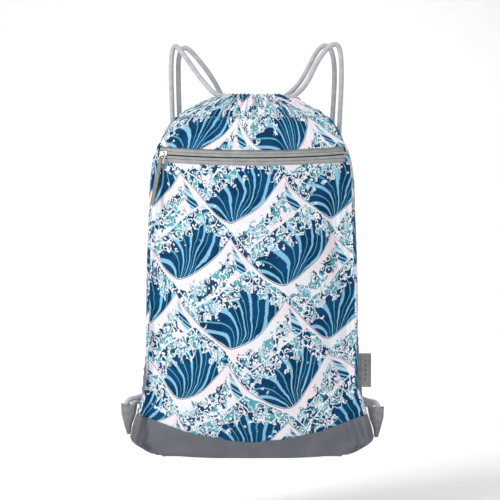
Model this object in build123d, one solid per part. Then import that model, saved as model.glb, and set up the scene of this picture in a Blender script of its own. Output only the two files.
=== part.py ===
"""Drawstring backpack: a printed bag on a plain base, with a zipped front pocket and two drawcords as straps.

It hangs from the tops of its two strap loops. +Z is up, the front faces -Y, and +X is to the right seen from
the front. The origin is midway between the tops of the two loops. Millimetres.
"""

import math
import os

from build123d import *

# ---- driving dimensions -------------------------------------------------------------------------------
FABRIC = 1.5  # a panel with its seam allowance and backing
SEAM_INSET = 5  # how far the front seams lie inside the bag's outline
CORD_DIAMETER = 6.5

# The bag as it hangs, filled: height, half width, reach to the front and to the rear, and the Y of the front
# and of the rear seam of its narrow side gussets.
BODY_SECTIONS = [
    (-76, 74, 28, 26, -21, 17),
    (-90, 101, 31, 26, -20, 14),
    (-112, 118, 37, 27, -18, 10),
    (-132, 128, 45, 28, -17, 7),
    (-160, 133, 50, 31, -17, 6),
    (-210, 135, 56, 34, -17, 6),
    (-300, 138, 62, 36, -17, 6),
    (-400, 138, 60, 35, -17, 6),
    (-440, 139.5, 57, 32, -17, 6),
    (-466, 149, 52, 28, -16, 5),
    (-490, 157, 44, 22, -14, 4),
    (-505, 159, 36, 18, -12, 3),
    (-520, 142, 27, 14, -9, 2),
    (-529, 118, 18, 10, -6, 1),
]
CASING_FOOT = -90  # where the casings are sewn to the panels
BODY_FOOT = BODY_SECTIONS[-1][0]

# The casings: hems that the cords run through, gathered to these half widths at the top and at the foot.
CASING_TOP = -61
CASING_HALF_TOP = 42
CASING_HALF_FOOT = 88
CASING_INNER = 9.5  # from the middle of the mouth to the casing's inner face
CASING_OUTER = 26
CORD_HEIGHT = -67  # the cords' height inside the casings
OUTER_LANE = 20.3  # the left cord's distance from the middle of the mouth, inside the casings
INNER_LANE = 13.7  # the right cord's
LANE_END = 22  # X where the length inside the casings meets the free length
TURN_START = 40  # X where a cord starts to turn round to the other casing
EXIT_START = 37  # past this X the channel is open upwards and inwards, and the cords leave
CHANNEL_MARGIN = 0.3
CHANNEL_HEIGHT = 9
CASING_ROUNDING = 1.2
EXIT_SLIT = 2  # how far the open ends reach in, towards the mouth

# The zip follows a circular arc round the bag's bulging front.
ZIP_HALF_CHORD = 120
ZIP_DIP = 6.5  # the middle hangs this much lower than the ends
ZIP_SAG = 29  # the middle stands this far in front of the ends
ZIP_MIDDLE = (0, -44.6, -145)
ZIP_LEAN = 8  # degrees: the tapes lean out this much towards their foot
TAPE_WIDTH = 11.5  # of one tape
TAPE_THICK = 0.8
TAPE_GAP = 1.6  # between the tapes, where the slider's post runs
COIL_WIDTH = 2.8
COIL_THICK = 2.2
SLOT_HALF = 10  # the panels' edges stop this far above and below the zip's middle
SLOT_END = 1.5  # and this far past its ends
STOP_LENGTH = 1.6
STOP_WIDTH = 8
STOP_THICK = 1.2

SLIDER_LENGTH = 9
SLIDER_WIDTH = 9
SLIDER_PLATE = 1.2
SLIDER_CLEARANCE = 0.3
SLIDER_POST = 1.0
SLIDER_REST = -113.5  # X of the slider with the zip closed
SLIDER_OPEN = 113.5
BAIL_WIDTH = 2
BAIL_REACH = 7.6  # along the slider's width
BAIL_RISE = 4.2
BAIL_BAR = 1.2
LINK_PIVOT = (-1.5, 3.4)  # up the tape and out from it, where the link's upper bar lies
LINK_WIRE = 1.6
LINK_LENGTH = 11
LINK_HALF_WIDTH = 3.9
LINK_LIFT = 16  # degrees: the hanging link leans out from the tape, over the panel's edge
PULL_WIDTH = 5.6
PULL_THICK = 2
PULL_LENGTH = 58
PULL_TILT = 3  # degrees: the hanging strap leans out, over the bulge of the pocket
PULL_EYE = 1.1  # radius of the loop's hole
PULL_EYE_WALL = 1.1

# The base seam, seen from the front: low in the middle and high at the corners.
BASE_SEAM_MIDDLE = -505
BASE_SEAM_SIDE = -464
BASE_SEAM_REACH = 165

LINING_DEPTH = 30  # the pocket lining's middle hangs this far behind the front
LINING_SEAM = -4  # Y where it meets the gussets
LINING_THICK = 0.8
LINING_TOP = -132
BINDING_WIDTH = 7
BINDING_THICK = 1.2
BINDING_TOP = -85  # the upright seams' bindings stay between these heights
BINDING_FOOT = -470
BINDING_UNDER_ZIP = -165  # where the front ones start, below the zip's ends
BASE_BINDING_TOP = -440
BASE_BINDING_GAP = 0.3
BASE_BINDING_REACH = 120

# The corner tabs, seen from the front: half of a folded webbing, wide at its mouth and caught in the seam.
TAB_OUTLINE = [
    (169.8, -463),
    (150.5, -463),
    (152.8, -476),
    (158.2, -490.5),
    (159.6, -502),
    (162, -502),
    (169.8, -476),
]
TAB_DEPTH = 10
TAB_SEAM = 4  # Y of the tabs' middle
TAB_CORDS = (157.3, 164.8)  # X of the two cord ends in a tab
TAB_HOLE = 6.9  # the space that the fold leaves round a cord's end
TAB_HOLE_FOOT = -476
CORD_END = -475.5
RIGHT_TAB_SHIFT = (1.4, 0, -4)  # the right tab sits a little lower than the left one
BARTACK_THICK = 0.6
BARTACK_HEIGHT = 2
BARTACK_REACH = (157, 166)
BARTACK_LEVEL = -481

LABEL_TOP = -397
LABEL_HEIGHT = 44
LABEL_ROOT = 140.8
LABEL_REACH = 15
LABEL_THICK = 1.2
LABEL_SEAM = 6
FAR = 400  # past every face of the bag

# ---- the cords' routes: from the end of the length inside a casing, over the strap's top, down behind the
# ---- bag and out to the corner tab
LEFT_FRONT_ROUTE = [
    (-LANE_END, -OUTER_LANE, CORD_HEIGHT),
    (-43, -20.3, -67),
    (-64, -16, -38),
    (-87, -7, 1),
    (-104.5, -4, 4),
    (-106, 2, -34),
    (-104.5, 19, -95),
    (-106, 33, -165),
    (-104, 38, -245),
    (-107, 39, -325),
    (-108, 37, -390),
    (-126, 29, -440),
    (-150, 13, -448),
    (-164.8, 4, -449),
    (-164.8, 4, CORD_END),
]
LEFT_BACK_ROUTE = [
    (-LANE_END, OUTER_LANE, CORD_HEIGHT),
    (-43, 20.3, -67),
    (-61, 18, -40),
    (-79, 10, -6),
    (-95, 6, 0),
    (-97, 11, -36),
    (-95.4, 25, -98),
    (-96.5, 35, -168),
    (-95, 39, -250),
    (-97.5, 40, -330),
    (-97, 39, -398),
    (-119, 36, -446),
    (-143, 22, -463),
    (-157.3, 4, -454.5),
    (-157.3, 4, CORD_END),
]
RIGHT_FRONT_ROUTE = [
    (LANE_END, -INNER_LANE, CORD_HEIGHT),
    (42, -13.7, -67),
    (67, -13, -45),
    (96, -7, 4),
    (114.5, -4, 8),
    (117.5, 3, -34),
    (115, 19, -97),
    (114, 33, -166),
    (111, 38, -245),
    (112, 39, -325),
    (111, 37, -392),
    (128, 29, -443),
    (151, 13, -452),
    (166.2, 4, -453),
    (166.2, 4, CORD_END - 4),
]
RIGHT_BACK_ROUTE = [
    (LANE_END, INNER_LANE, CORD_HEIGHT),
    (42, 13.7, -67),
    (64, 15, -44),
    (89, 9, -2),
    (105.5, 6, 3),
    (108.5, 11, -36),
    (105.5, 25, -98),
    (104, 35, -168),
    (102, 39, -250),
    (103, 40, -330),
    (101, 39, -400),
    (121, 36, -450),
    (144.5, 22, -467),
    (158.7, 4, -458.5),
    (158.7, 4, CORD_END - 4),
]


# ---- helpers ------------------------------------------------------------------------------------------
def write(name, shape):
    """Writes one node, with its name."""
    shape.label = name
    export_step(shape, os.path.join("parts", name + ".step"))


def one_solid(shape):
    """The largest solid of a shape that a cut may have split."""
    return max(shape.solids(), key=lambda solid: solid.volume)


def front_view(points, near=-FAR, far=FAR):
    """A block whose outline, seen from the front, is the polygon through the points (X, Z)."""
    outline = Polyline(*[(x, near, z) for x, z in points], close=True)
    return extrude(make_face(outline), amount=far - near, dir=(0, 1, 0))


def rod(start, end, radius):
    """A round bar between two points."""
    run = Vector(*end) - Vector(*start)
    plane = Plane(origin=start, z_dir=run)
    return plane * Pos(0, 0, run.length / 2) * Cylinder(radius, run.length)


# ---- the body's panels ----------------------------------------------------------------------------------
def corners(section, depth):
    """The X and Y of the front and of the rear seam on the +X side, this depth inside the outside face."""
    _, half, _, _, front_seam, rear_seam = section
    front = (half - SEAM_INSET - depth, front_seam + 0.6 * depth)
    rear = (half - depth, rear_seam - 0.3 * depth)
    return front, rear


def front_arc(section, depth):
    """The front panel's section: its left end, middle and right end."""
    (x, y), _ = corners(section, depth)
    return (-x, y), (0, -section[2] + depth), (x, y)


def back_arc(section, depth):
    """The back panel's section."""
    _, (x, y) = corners(section, depth)
    return (-x, y), (0, section[3] - depth), (x, y)


def gusset_arc(section, depth):
    """The right gusset's section, from its front seam to its rear seam."""
    front, rear = corners(section, depth)
    middle = ((front[0] + rear[0]) / 2 + 1.2, (front[1] + rear[1]) / 2)
    return front, middle, rear


def lining_arc(section, depth):
    """The pocket lining's section: it hangs behind the front and meets the gussets."""
    x = section[1] - SEAM_INSET - depth - 0.3
    return (-x, LINING_SEAM + depth), (0, LINING_DEPTH - section[2] + depth), (x, LINING_SEAM + depth)


def strip(arc, sections, thick=FABRIC):
    """A panel: between each section's arc and the same arc one thickness further in."""
    faces = []
    for section in sections:
        outer = [(x, y, section[0]) for x, y in arc(section, 0)]
        inner = [(x, y, section[0]) for x, y in arc(section, thick)]
        edges = [
            ThreePointArc(*outer),
            Line(outer[2], inner[2]),
            ThreePointArc(*reversed(inner)),
            Line(inner[0], outer[0]),
        ]
        faces.append(make_face(edges))
    return loft(faces, ruled=True)


def section_at(height):
    """The body's section at any height, between the two listed round it."""
    for above, below in zip(BODY_SECTIONS, BODY_SECTIONS[1:]):
        if above[0] >= height >= below[0]:
            share = (above[0] - height) / (above[0] - below[0])
            return tuple(a + share * (b - a) for a, b in zip(above, below))
    raise ValueError("no section at this height")


def curve_block(middle, end, reach, low, high):
    """Seen from the front, a band along an arc, from one offset below the arc to one above it."""
    lower = ThreePointArc((-reach, -FAR, end + low), (0, -FAR, middle + low), (reach, -FAR, end + low))
    upper = ThreePointArc((reach, -FAR, end + high), (0, -FAR, middle + high), (-reach, -FAR, end + high))
    sides = [Line(lower @ 1, upper @ 0), Line(upper @ 1, lower @ 0)]
    return extrude(make_face([lower, upper, *sides]), amount=2 * FAR, dir=(0, 1, 0))


def zip_block(low, high, reach):
    """The band between two offsets from the zip's curve, cut off behind the front panels."""
    band = curve_block(ZIP_MIDDLE[2], ZIP_MIDDLE[2] + ZIP_DIP, reach, low, high)
    return band & Pos(0, -FAR / 2, ZIP_MIDDLE[2]) * Box(2 * FAR, FAR, 2 * FAR)


def base_block(low, high):
    """The band between two offsets from the base seam's curve."""
    return curve_block(BASE_SEAM_MIDDLE, BASE_SEAM_SIDE, BASE_SEAM_REACH, low, high)


def make_body():
    """The printed panels, and the base that wraps under them."""
    from_casing = [section for section in BODY_SECTIONS if section[0] <= CASING_FOOT]
    below_seam = base_block(-FAR, 0)
    front = strip(front_arc, from_casing)
    back = strip(back_arc, from_casing)
    right = strip(gusset_arc, BODY_SECTIONS)
    left = mirror(right, about=Plane.YZ)

    slot = zip_block(-SLOT_HALF, SLOT_HALF, ZIP_HALF_CHORD + SLOT_END)
    above_zip = zip_block(0, FAR, ZIP_HALF_CHORD + FAR / 10)
    printed_front = front - below_seam - slot
    write("front_upper_panel", one_solid(printed_front & above_zip))
    write("front_pocket_panel", one_solid(printed_front - above_zip))
    write("back_panel", one_solid(back - below_seam))
    write("side_gusset_right", one_solid(right - below_seam))
    write("side_gusset_left", one_solid(left - below_seam))

    last = BODY_SECTIONS[-1]
    arcs = [front_arc(last, 0), gusset_arc(last, 0), back_arc(last, 0)[::-1]]
    arcs.append([(-x, y) for x, y in arcs[1]][::-1])
    outline = [ThreePointArc(*[(x, y, BODY_FOOT) for x, y in arc]) for arc in arcs]
    base = extrude(make_face(outline), amount=FABRIC, dir=(0, 0, 1))
    for panel in (front, back, right, left):
        base = base + (panel & below_seam)
    write("base_panel", one_solid(base))


# ---- the pocket's lining and the seam bindings ----------------------------------------------------------
def make_lining():
    """The sheet that closes the front pocket from inside."""
    sections = [section_at(LINING_TOP - 1)]
    sections += [section for section in BODY_SECTIONS if LINING_TOP - 1 > section[0] > BASE_SEAM_MIDDLE]
    write("pocket_lining", strip(lining_arc, sections, LINING_THICK))


def binding(side, seam, slant, sections):
    """A bound seam allowance, standing into the bag along one upright seam."""
    faces = []
    along = (-math.sqrt(0.5), slant * math.sqrt(0.5))
    across = (-along[1], along[0])
    for section in sections:
        x, y = corners(section, 2 * FABRIC)[seam]
        quad = []
        for length, width in ((0, 0), (BINDING_WIDTH, 0), (BINDING_WIDTH, BINDING_THICK), (0, BINDING_THICK)):
            dx = along[0] * length + across[0] * width
            dy = along[1] * length + across[1] * width
            quad.append((side * (x + dx), y + dy, section[0]))
        faces.append(make_face(Polyline(*quad, close=True)))
    return loft(faces, ruled=True)


def base_binding(arc):
    """The bound allowance of the base seam, flat against one panel's inside."""

    def inside_arc(section, depth):
        return arc(section, FABRIC + BASE_BINDING_GAP + depth)

    sections = [section for section in BODY_SECTIONS if BASE_BINDING_TOP >= section[0] > BODY_FOOT]
    width = BINDING_WIDTH / 2
    band = base_block(-width, width) & Pos(0, 0, BASE_SEAM_MIDDLE) * Box(2 * BASE_BINDING_REACH, FAR, FAR)
    return one_solid(strip(inside_arc, sections, BINDING_THICK) & band)


def make_bindings():
    """One binding on each of the four upright seams, and one on each half of the base seam."""
    long_seam = [section for section in BODY_SECTIONS if BINDING_TOP > section[0] > BINDING_FOOT]
    short_seam = [section_at(BINDING_UNDER_ZIP)]
    short_seam += [section for section in long_seam if section[0] < BINDING_UNDER_ZIP]
    for side_name, side in (("left", -1), ("right", 1)):
        write("seam_binding_front_" + side_name, binding(side, 0, 1, short_seam))
        write("seam_binding_rear_" + side_name, binding(side, 1, -1, long_seam))
    write("base_binding_front", base_binding(front_arc))
    write("base_binding_rear", base_binding(back_arc))


# ---- the casings ----------------------------------------------------------------------------------------
def make_casing(name, side):
    """One gathered hem, straight across the mouth, with the channel that holds both cords along it."""
    outline = [
        (-CASING_HALF_TOP, CASING_TOP),
        (CASING_HALF_TOP, CASING_TOP),
        (CASING_HALF_FOOT, CASING_FOOT),
        (-CASING_HALF_FOOT, CASING_FOOT),
    ]
    faces = sorted([side * CASING_INNER, side * CASING_OUTER])
    hem = front_view(outline, *faces)
    hem = fillet(hem.edges().filter_by(Axis.X).sort_by(Axis.Z)[-2:], CASING_ROUNDING)
    span = OUTER_LANE - INNER_LANE + CORD_DIAMETER + 2 * CHANNEL_MARGIN
    middle = side * (OUTER_LANE + INNER_LANE) / 2
    hem = hem - Pos(0, middle, CORD_HEIGHT) * Box(FAR, span, CHANNEL_HEIGHT)
    low = CORD_HEIGHT - CHANNEL_HEIGHT / 2
    for end in (Align.MIN, Align.MAX):
        start = EXIT_START if end == Align.MIN else -EXIT_START
        open_end = Box(FAR, span + EXIT_SLIT, FAR, align=(end, Align.CENTER, Align.MIN))
        hem = hem - Pos(start, middle - side * EXIT_SLIT / 2, low) * open_end
    write(name, one_solid(hem))


# ---- the zip --------------------------------------------------------------------------------------------
def zip_arc():
    """The arc's radius, its centre and the direction of its axis."""
    sag = math.hypot(ZIP_SAG, ZIP_DIP)
    radius = (ZIP_HALF_CHORD**2 + sag**2) / (2 * sag)
    inward = Vector(0, ZIP_SAG, ZIP_DIP) / sag
    centre = Vector(*ZIP_MIDDLE) + inward * radius
    return radius, centre, Vector(0, -ZIP_DIP, ZIP_SAG) / sag


def zip_angle(x):
    """Degrees round the arc from its middle to this X."""
    return math.degrees(math.asin(x / zip_arc()[0]))


ZIP_RADIUS, ZIP_CENTRE, ZIP_DIRECTION = zip_arc()
ZIP_AXIS = Axis(ZIP_CENTRE, ZIP_DIRECTION)
UP_TAPE = Vector(0, math.sin(math.radians(ZIP_LEAN)), math.cos(math.radians(ZIP_LEAN)))
TAPE_SECTION = Plane(origin=ZIP_MIDDLE, x_dir=UP_TAPE, z_dir=(1, 0, 0))  # X up the tape, Y out of it
TAPE_FACE = Plane(origin=ZIP_MIDDLE, x_dir=(1, 0, 0), z_dir=Vector(1, 0, 0).cross(UP_TAPE))


def along_zip(low, high, inside, outside, first, last):
    """A bar that follows the zip: its section's reach up the tape and out from it, between two angles."""
    centre = Pos((low + high) / 2, (inside + outside) / 2)
    face = TAPE_SECTION * centre * Rectangle(high - low, outside - inside)
    return revolve(face, ZIP_AXIS, last - first).rotate(ZIP_AXIS, first)


def make_zip():
    """Two tapes, the coils behind them, and a stitched stop at each end."""
    end = zip_angle(ZIP_HALF_CHORD)
    stop = zip_angle(ZIP_HALF_CHORD - STOP_LENGTH)
    face = TAPE_THICK / 2
    edge = TAPE_GAP / 2
    for name, side in (("upper", 1), ("lower", -1)):
        tape = sorted([side * edge, side * (edge + TAPE_WIDTH)])
        coil = sorted([side * (edge + 0.1), side * (edge + 0.1 + COIL_WIDTH)])
        write("zip_tape_" + name, along_zip(*tape, -face, face, -end, end))
        write("zip_coil_" + name, along_zip(*coil, -face - COIL_THICK, -face, -stop, stop))
    half = STOP_WIDTH / 2
    write("zip_stop_left", along_zip(-half, half, face, face + STOP_THICK, -end, -stop))
    write("zip_stop_right", along_zip(-half, half, face, face + STOP_THICK, stop, end))


def make_slider():
    """The slider's two plates, the post between them and the bail that holds the pull."""
    front_low = TAPE_THICK / 2 + SLIDER_CLEARANCE
    rear_high = -TAPE_THICK / 2 - COIL_THICK - SLIDER_CLEARANCE
    front_plate = Pos(0, 0, front_low + SLIDER_PLATE / 2) * Box(SLIDER_LENGTH, SLIDER_WIDTH, SLIDER_PLATE)
    front_plate = fillet(front_plate.edges().filter_by(Axis.Z), 2)
    rear_plate = Pos(0, 0, rear_high - SLIDER_PLATE / 2) * Box(SLIDER_LENGTH, SLIDER_WIDTH, SLIDER_PLATE)
    rear_plate = fillet(rear_plate.edges().filter_by(Axis.Z), 2)
    post_height = front_low - rear_high
    post = Pos(-1.5, 0, (front_low + rear_high) / 2) * Box(SLIDER_LENGTH - 4, SLIDER_POST, post_height)
    plate_top = front_low + SLIDER_PLATE
    bail = Pos(0, 0, plate_top + BAIL_RISE / 2) * Box(BAIL_WIDTH, BAIL_REACH, BAIL_RISE)
    bail = fillet(bail.edges().filter_by(Axis.X).group_by(Axis.Z)[-1], 1.5)
    eye_height = BAIL_RISE - BAIL_BAR
    eye = Pos(0, 0, plate_top + eye_height / 2) * Box(FAR, BAIL_REACH - 2 * BAIL_BAR, eye_height)
    return front_plate + rear_plate + post + (bail - eye)


def link_ends():
    """Up the tape and out from it: the link's upper bar, and its lower bar."""
    lift = math.radians(LINK_LIFT)
    lower = (LINK_PIVOT[0] - LINK_LENGTH * math.cos(lift), LINK_PIVOT[1] + LINK_LENGTH * math.sin(lift))
    return LINK_PIVOT, lower


def make_link():
    """The wire link, a rectangle with round corners."""
    upper, lower = link_ends()
    ring = [(-LINK_HALF_WIDTH, *upper), (LINK_HALF_WIDTH, *upper)]
    ring += [(LINK_HALF_WIDTH, *lower), (-LINK_HALF_WIDTH, *lower)]
    link = None
    for start, end in zip(ring, ring[1:] + ring[:1]):
        bar = rod(start, end, LINK_WIRE / 2) + Pos(*start) * Sphere(LINK_WIRE / 2)
        link = bar if link is None else link + bar
    return link


def make_pull():
    """The fabric strap, folded over the link's lower bar."""
    _, (up, out) = link_ends()
    place = Pos(0, up, out) * Rot(X=-PULL_TILT)
    eye = place * Rot(Y=90) * Cylinder(PULL_EYE + PULL_EYE_WALL, PULL_WIDTH)
    length = PULL_LENGTH - PULL_EYE - PULL_EYE_WALL
    blade = Box(PULL_WIDTH, length, PULL_THICK)
    blade = fillet(blade.edges().filter_by(Axis.Z), 1)
    blade = place * Pos(0, -length / 2, 0) * blade
    return eye + blade - place * Rot(Y=90) * Cylinder(PULL_EYE, FAR)


def make_zip_pull():
    """The slider, link and strap, turned to the closed end of the zip."""
    rest = zip_angle(SLIDER_REST)
    pieces = {"zip_slider": make_slider(), "zip_pull_link": make_link(), "zip_pull_strap": make_pull()}
    for name, piece in pieces.items():
        write(name, (TAPE_FACE * piece).rotate(ZIP_AXIS, rest))
    print("slider axis", ZIP_CENTRE, ZIP_DIRECTION, "travel", zip_angle(SLIDER_OPEN) - rest)
    for name, (up, out) in zip(("link", "strap"), link_ends()):
        spot = Vertex(*TAPE_FACE.from_local_coords((0, up, out))).rotate(ZIP_AXIS, rest)
        ahead = Vertex(*TAPE_FACE.from_local_coords((1, up, out))).rotate(ZIP_AXIS, rest)
        print(name, "axis", spot.center(), ahead.center() - spot.center())


# ---- the cords ------------------------------------------------------------------------------------------
def corner_radii(route):
    """For each corner, the radius that leaves a little of both its runs straight."""
    radii = []
    for before, corner, after in zip(route, route[1:], route[2:]):
        arriving = Vector(*corner) - Vector(*before)
        leaving = Vector(*after) - Vector(*corner)
        half_turn = math.radians(arriving.get_angle(leaving)) / 2
        radii.append(0.45 * min(arriving.length, leaving.length) / math.tan(half_turn))
    return radii


def cord(name, path):
    """A round cord along a path, with its length printed."""
    start = Plane(origin=path @ 0, z_dir=path % 0)
    write(name, sweep(start * Circle(CORD_DIAMETER / 2), path=path))
    print(name, "length", round(path.length, 1))


def free_cord(name, route):
    """A free length along its route."""
    radii = corner_radii(route)
    print(name, "radii", [round(radius, 1) for radius in radii])
    cord(name, FilletPolyline(*route, radius=radii))


def inside_cord(name, lane, side):
    """The length inside both casings: it turns round at the far side of the mouth."""
    near = side * LANE_END
    far = -side * TURN_START
    front_corner = (far, -lane, CORD_HEIGHT)
    back_corner = (far, lane, CORD_HEIGHT)
    front = Line((near, -lane, CORD_HEIGHT), front_corner)
    turn = ThreePointArc(front_corner, (far - side * lane, 0, CORD_HEIGHT), back_corner)
    back = Line(back_corner, (near, lane, CORD_HEIGHT))
    cord(name, Wire([front.edge(), turn.edge(), back.edge()]))


def make_cords():
    """Both cords: the left cord in the outer lanes of the casings and the right cord in the inner lanes."""
    inside_cord("cord_left_in_casing", OUTER_LANE, -1)
    inside_cord("cord_right_in_casing", INNER_LANE, 1)
    free_cord("cord_left_front", LEFT_FRONT_ROUTE)
    free_cord("cord_left_back", LEFT_BACK_ROUTE)
    free_cord("cord_right_front", RIGHT_FRONT_ROUTE)
    free_cord("cord_right_back", RIGHT_BACK_ROUTE)


# ---- the corner tabs and the label ----------------------------------------------------------------------
def make_tab(side_name, side, shift):
    """A webbing tab folded round the two cord ends, sewn into the side seam, and the bartacks through it."""
    front = TAB_SEAM - TAB_DEPTH / 2
    back = TAB_SEAM + TAB_DEPTH / 2
    tab = front_view(TAB_OUTLINE, front, back)
    depth = TAB_OUTLINE[0][1] - TAB_HOLE_FOOT
    for x in TAB_CORDS:
        tab = tab - Pos(x, TAB_SEAM, TAB_HOLE_FOOT + depth / 2) * Cylinder(TAB_HOLE / 2, depth)
    bars = []
    low, high = BARTACK_REACH
    for y in (front - BARTACK_THICK / 2, back + BARTACK_THICK / 2):
        bars.append(Pos((low + high) / 2, y, BARTACK_LEVEL) * Box(high - low, BARTACK_THICK, BARTACK_HEIGHT))
    for name, piece in (("corner_tab_", tab), ("tab_bartacks_", Compound(bars))):
        piece = Pos(*shift) * piece
        write(name + side_name, piece if side > 0 else mirror(piece, about=Plane.YZ))


def make_label():
    """The folded label, standing out of the right rear seam."""
    middle = (LABEL_ROOT + LABEL_REACH / 2, LABEL_SEAM, LABEL_TOP - LABEL_HEIGHT / 2)
    write("side_label", Pos(*middle) * Box(LABEL_REACH, LABEL_THICK, LABEL_HEIGHT))


os.makedirs("parts", exist_ok=True)
make_body()
make_lining()
make_bindings()
make_casing("casing_front", -1)
make_casing("casing_back", 1)
make_zip()
make_zip_pull()
make_cords()
make_tab("left", -1, (0, 0, 0))
make_tab("right", 1, RIGHT_TAB_SHIFT)
make_label()
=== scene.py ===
"""The looks of the drawstring backpack: a printed bag with a zipped pocket, hung by its two cord loops.

Everything is in metres, in the frame of the CAD model: +Z up, the front faces -Y, and the origin is midway
between the tops of the strap loops. The bag's cloth is one grid of columns round the bag and rows down it,
which a cloth simulation settles before it is cut into its panels.
"""

import math

import bmesh
import bpy
import numpy as np
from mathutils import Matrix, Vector

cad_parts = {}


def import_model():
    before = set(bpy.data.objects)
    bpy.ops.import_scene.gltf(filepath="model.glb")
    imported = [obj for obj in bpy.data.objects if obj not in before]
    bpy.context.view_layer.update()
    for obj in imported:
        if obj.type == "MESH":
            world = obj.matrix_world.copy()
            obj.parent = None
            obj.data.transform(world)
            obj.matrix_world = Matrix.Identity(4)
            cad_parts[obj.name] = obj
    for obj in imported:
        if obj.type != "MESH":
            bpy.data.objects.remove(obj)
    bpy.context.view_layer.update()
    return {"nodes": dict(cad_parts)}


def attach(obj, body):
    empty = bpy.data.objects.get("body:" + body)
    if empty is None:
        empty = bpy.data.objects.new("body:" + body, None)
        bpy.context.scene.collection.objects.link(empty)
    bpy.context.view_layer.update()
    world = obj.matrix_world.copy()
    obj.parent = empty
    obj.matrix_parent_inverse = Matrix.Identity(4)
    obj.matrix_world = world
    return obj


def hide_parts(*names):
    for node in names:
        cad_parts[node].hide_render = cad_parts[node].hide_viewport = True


MM = 0.001
CLOTH_MAP = "cloth"  # the UV map that holds each piece's place on its own cloth, in metres

# ---- the design's dimensions, in millimetres ---------------------------------------------------------------
# The bag: height, half width, reach to the front and to the rear, Y of its front and of its rear seams.
# They are the CAD model's sections, but for the row at -512, which is added and makes the base's corners up
# to 5 mm fuller, and the one at -520, which is 2 mm narrower.
BODY_SECTIONS = [
    (-76, 74, 28, 26, -21, 17),
    (-90, 101, 31, 26, -20, 14),
    (-112, 118, 37, 27, -18, 10),
    (-132, 128, 45, 28, -17, 7),
    (-160, 133, 50, 31, -17, 6),
    (-210, 135, 56, 34, -17, 6),
    (-300, 138, 62, 36, -17, 6),
    (-400, 138, 60, 35, -17, 6),
    (-440, 139.5, 57, 32, -17, 6),
    (-466, 149, 52, 28, -16, 5),
    (-490, 157, 44, 22, -14, 4),
    (-505, 159, 36, 18, -12, 3),
    (-512, 156, 32, 16, -10.5, 2.5),
    (-520, 140, 27, 14, -9, 2),
    (-529, 118, 18, 10, -6, 1),
]
SEAM_INSET = 5
CASING_FOOT = -90
CASING_TOP = -61
# The gathered top: height and half width. It is 2 mm wider than the CAD casings at its top, 8 mm at its foot.
CASING_OUTLINE = [(-61, 44), (-66, 54), (-70, 63), (-76, 74), (-84, 90), (-90, 96)]
CASING_INNER = 9.5
GUSSET_TOP = -77  # above CASING_FOOT, where the CAD gussets end, so that no gap shows at the mouth
BODY_FOOT = -529
STRAIGHT_BELOW = -490  # the base's sides run straight from corner to corner
ZIP_MIDDLE = (0, -44.6, -145)  # place of the closed zip's middle
ZIP_HALF_CHORD = 120
ZIP_DIP = 6.5
ZIP_SAG = 29
ZIP_LEAN = 8
SLOT_HALF = 10
SLOT_END = 121.5
BASE_SEAM_MIDDLE = -505
BASE_SEAM_RISE = 41  # from the middle of the base seam up to its corners
BASE_SEAM_REACH = 165

CORD_DIAMETER = 0.0065

# ---- the cords' routes, in metres --------------------------------------------------------------------------
CORD_ROUTES = {
    "cord_left_front": [
        (-0.022, -0.0203, -0.067),
        (-0.043, -0.0203, -0.067),
        (-0.0665, -0.016, -0.041),
        (-0.090, -0.007, -0.006),
        (-0.1015, -0.004, 0.0065),
        (-0.1055, -0.001, -0.012),
        (-0.1055, 0.004, -0.045),
        (-0.1045, 0.019, -0.095),
        (-0.106, 0.033, -0.165),
        (-0.104, 0.038, -0.245),
        (-0.107, 0.039, -0.325),
        (-0.108, 0.037, -0.390),
        (-0.126, 0.029, -0.446),
        (-0.150, 0.013, -0.4565),
        (-0.1648, 0.004, -0.4570),
        (-0.1648, 0.004, -0.4755),
    ],
    "cord_left_back": [
        (-0.022, 0.0203, -0.067),
        (-0.037, 0.0203, -0.066),
        (-0.049, 0.0185, -0.040),
        (-0.070, 0.011, -0.012),
        (-0.088, 0.006, 0.006),
        (-0.0965, 0.008, -0.006),
        (-0.0965, 0.012, -0.045),
        (-0.0954, 0.025, -0.098),
        (-0.0965, 0.035, -0.168),
        (-0.095, 0.039, -0.250),
        (-0.0975, 0.040, -0.330),
        (-0.097, 0.039, -0.398),
        (-0.119, 0.036, -0.446),
        (-0.143, 0.022, -0.463),
        (-0.1573, 0.004, -0.4590),
        (-0.1573, 0.004, -0.4755),
    ],
    "cord_right_front": [
        (0.022, -0.0137, -0.067),
        (0.046, -0.0137, -0.068),
        (0.069, -0.013, -0.052),
        (0.084, -0.010, -0.018),
        (0.101, -0.006, 0.0045),
        (0.1145, -0.004, 0.006),
        (0.1175, 0.003, -0.034),
        (0.115, 0.019, -0.097),
        (0.114, 0.033, -0.166),
        (0.111, 0.038, -0.245),
        (0.112, 0.039, -0.325),
        (0.111, 0.037, -0.392),
        (0.128, 0.029, -0.450),
        (0.151, 0.013, -0.4605),
        (0.1662, 0.004, -0.4610),
        (0.1662, 0.004, -0.4795),
    ],
    "cord_right_back": [
        (0.022, 0.0137, -0.067),
        (0.034, 0.0137, -0.067),
        (0.058, 0.015, -0.0495),
        (0.072, 0.012, -0.027),
        (0.087, 0.008, 0.0035),
        (0.1005, 0.006, 0.0065),
        (0.1075, 0.008, -0.012),
        (0.1085, 0.012, -0.042),
        (0.1055, 0.025, -0.098),
        (0.104, 0.035, -0.168),
        (0.102, 0.039, -0.250),
        (0.103, 0.040, -0.330),
        (0.101, 0.039, -0.400),
        (0.121, 0.036, -0.450),
        (0.1445, 0.022, -0.467),
        (0.1587, 0.004, -0.4630),
        (0.1587, 0.004, -0.4795),
    ],
}
CORD_LEVEL = -0.067  # height of the cords inside the casings
OUTER_LANE = 0.0203  # how far forward and back each of the two cords lies there
INNER_LANE = 0.0137


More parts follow.
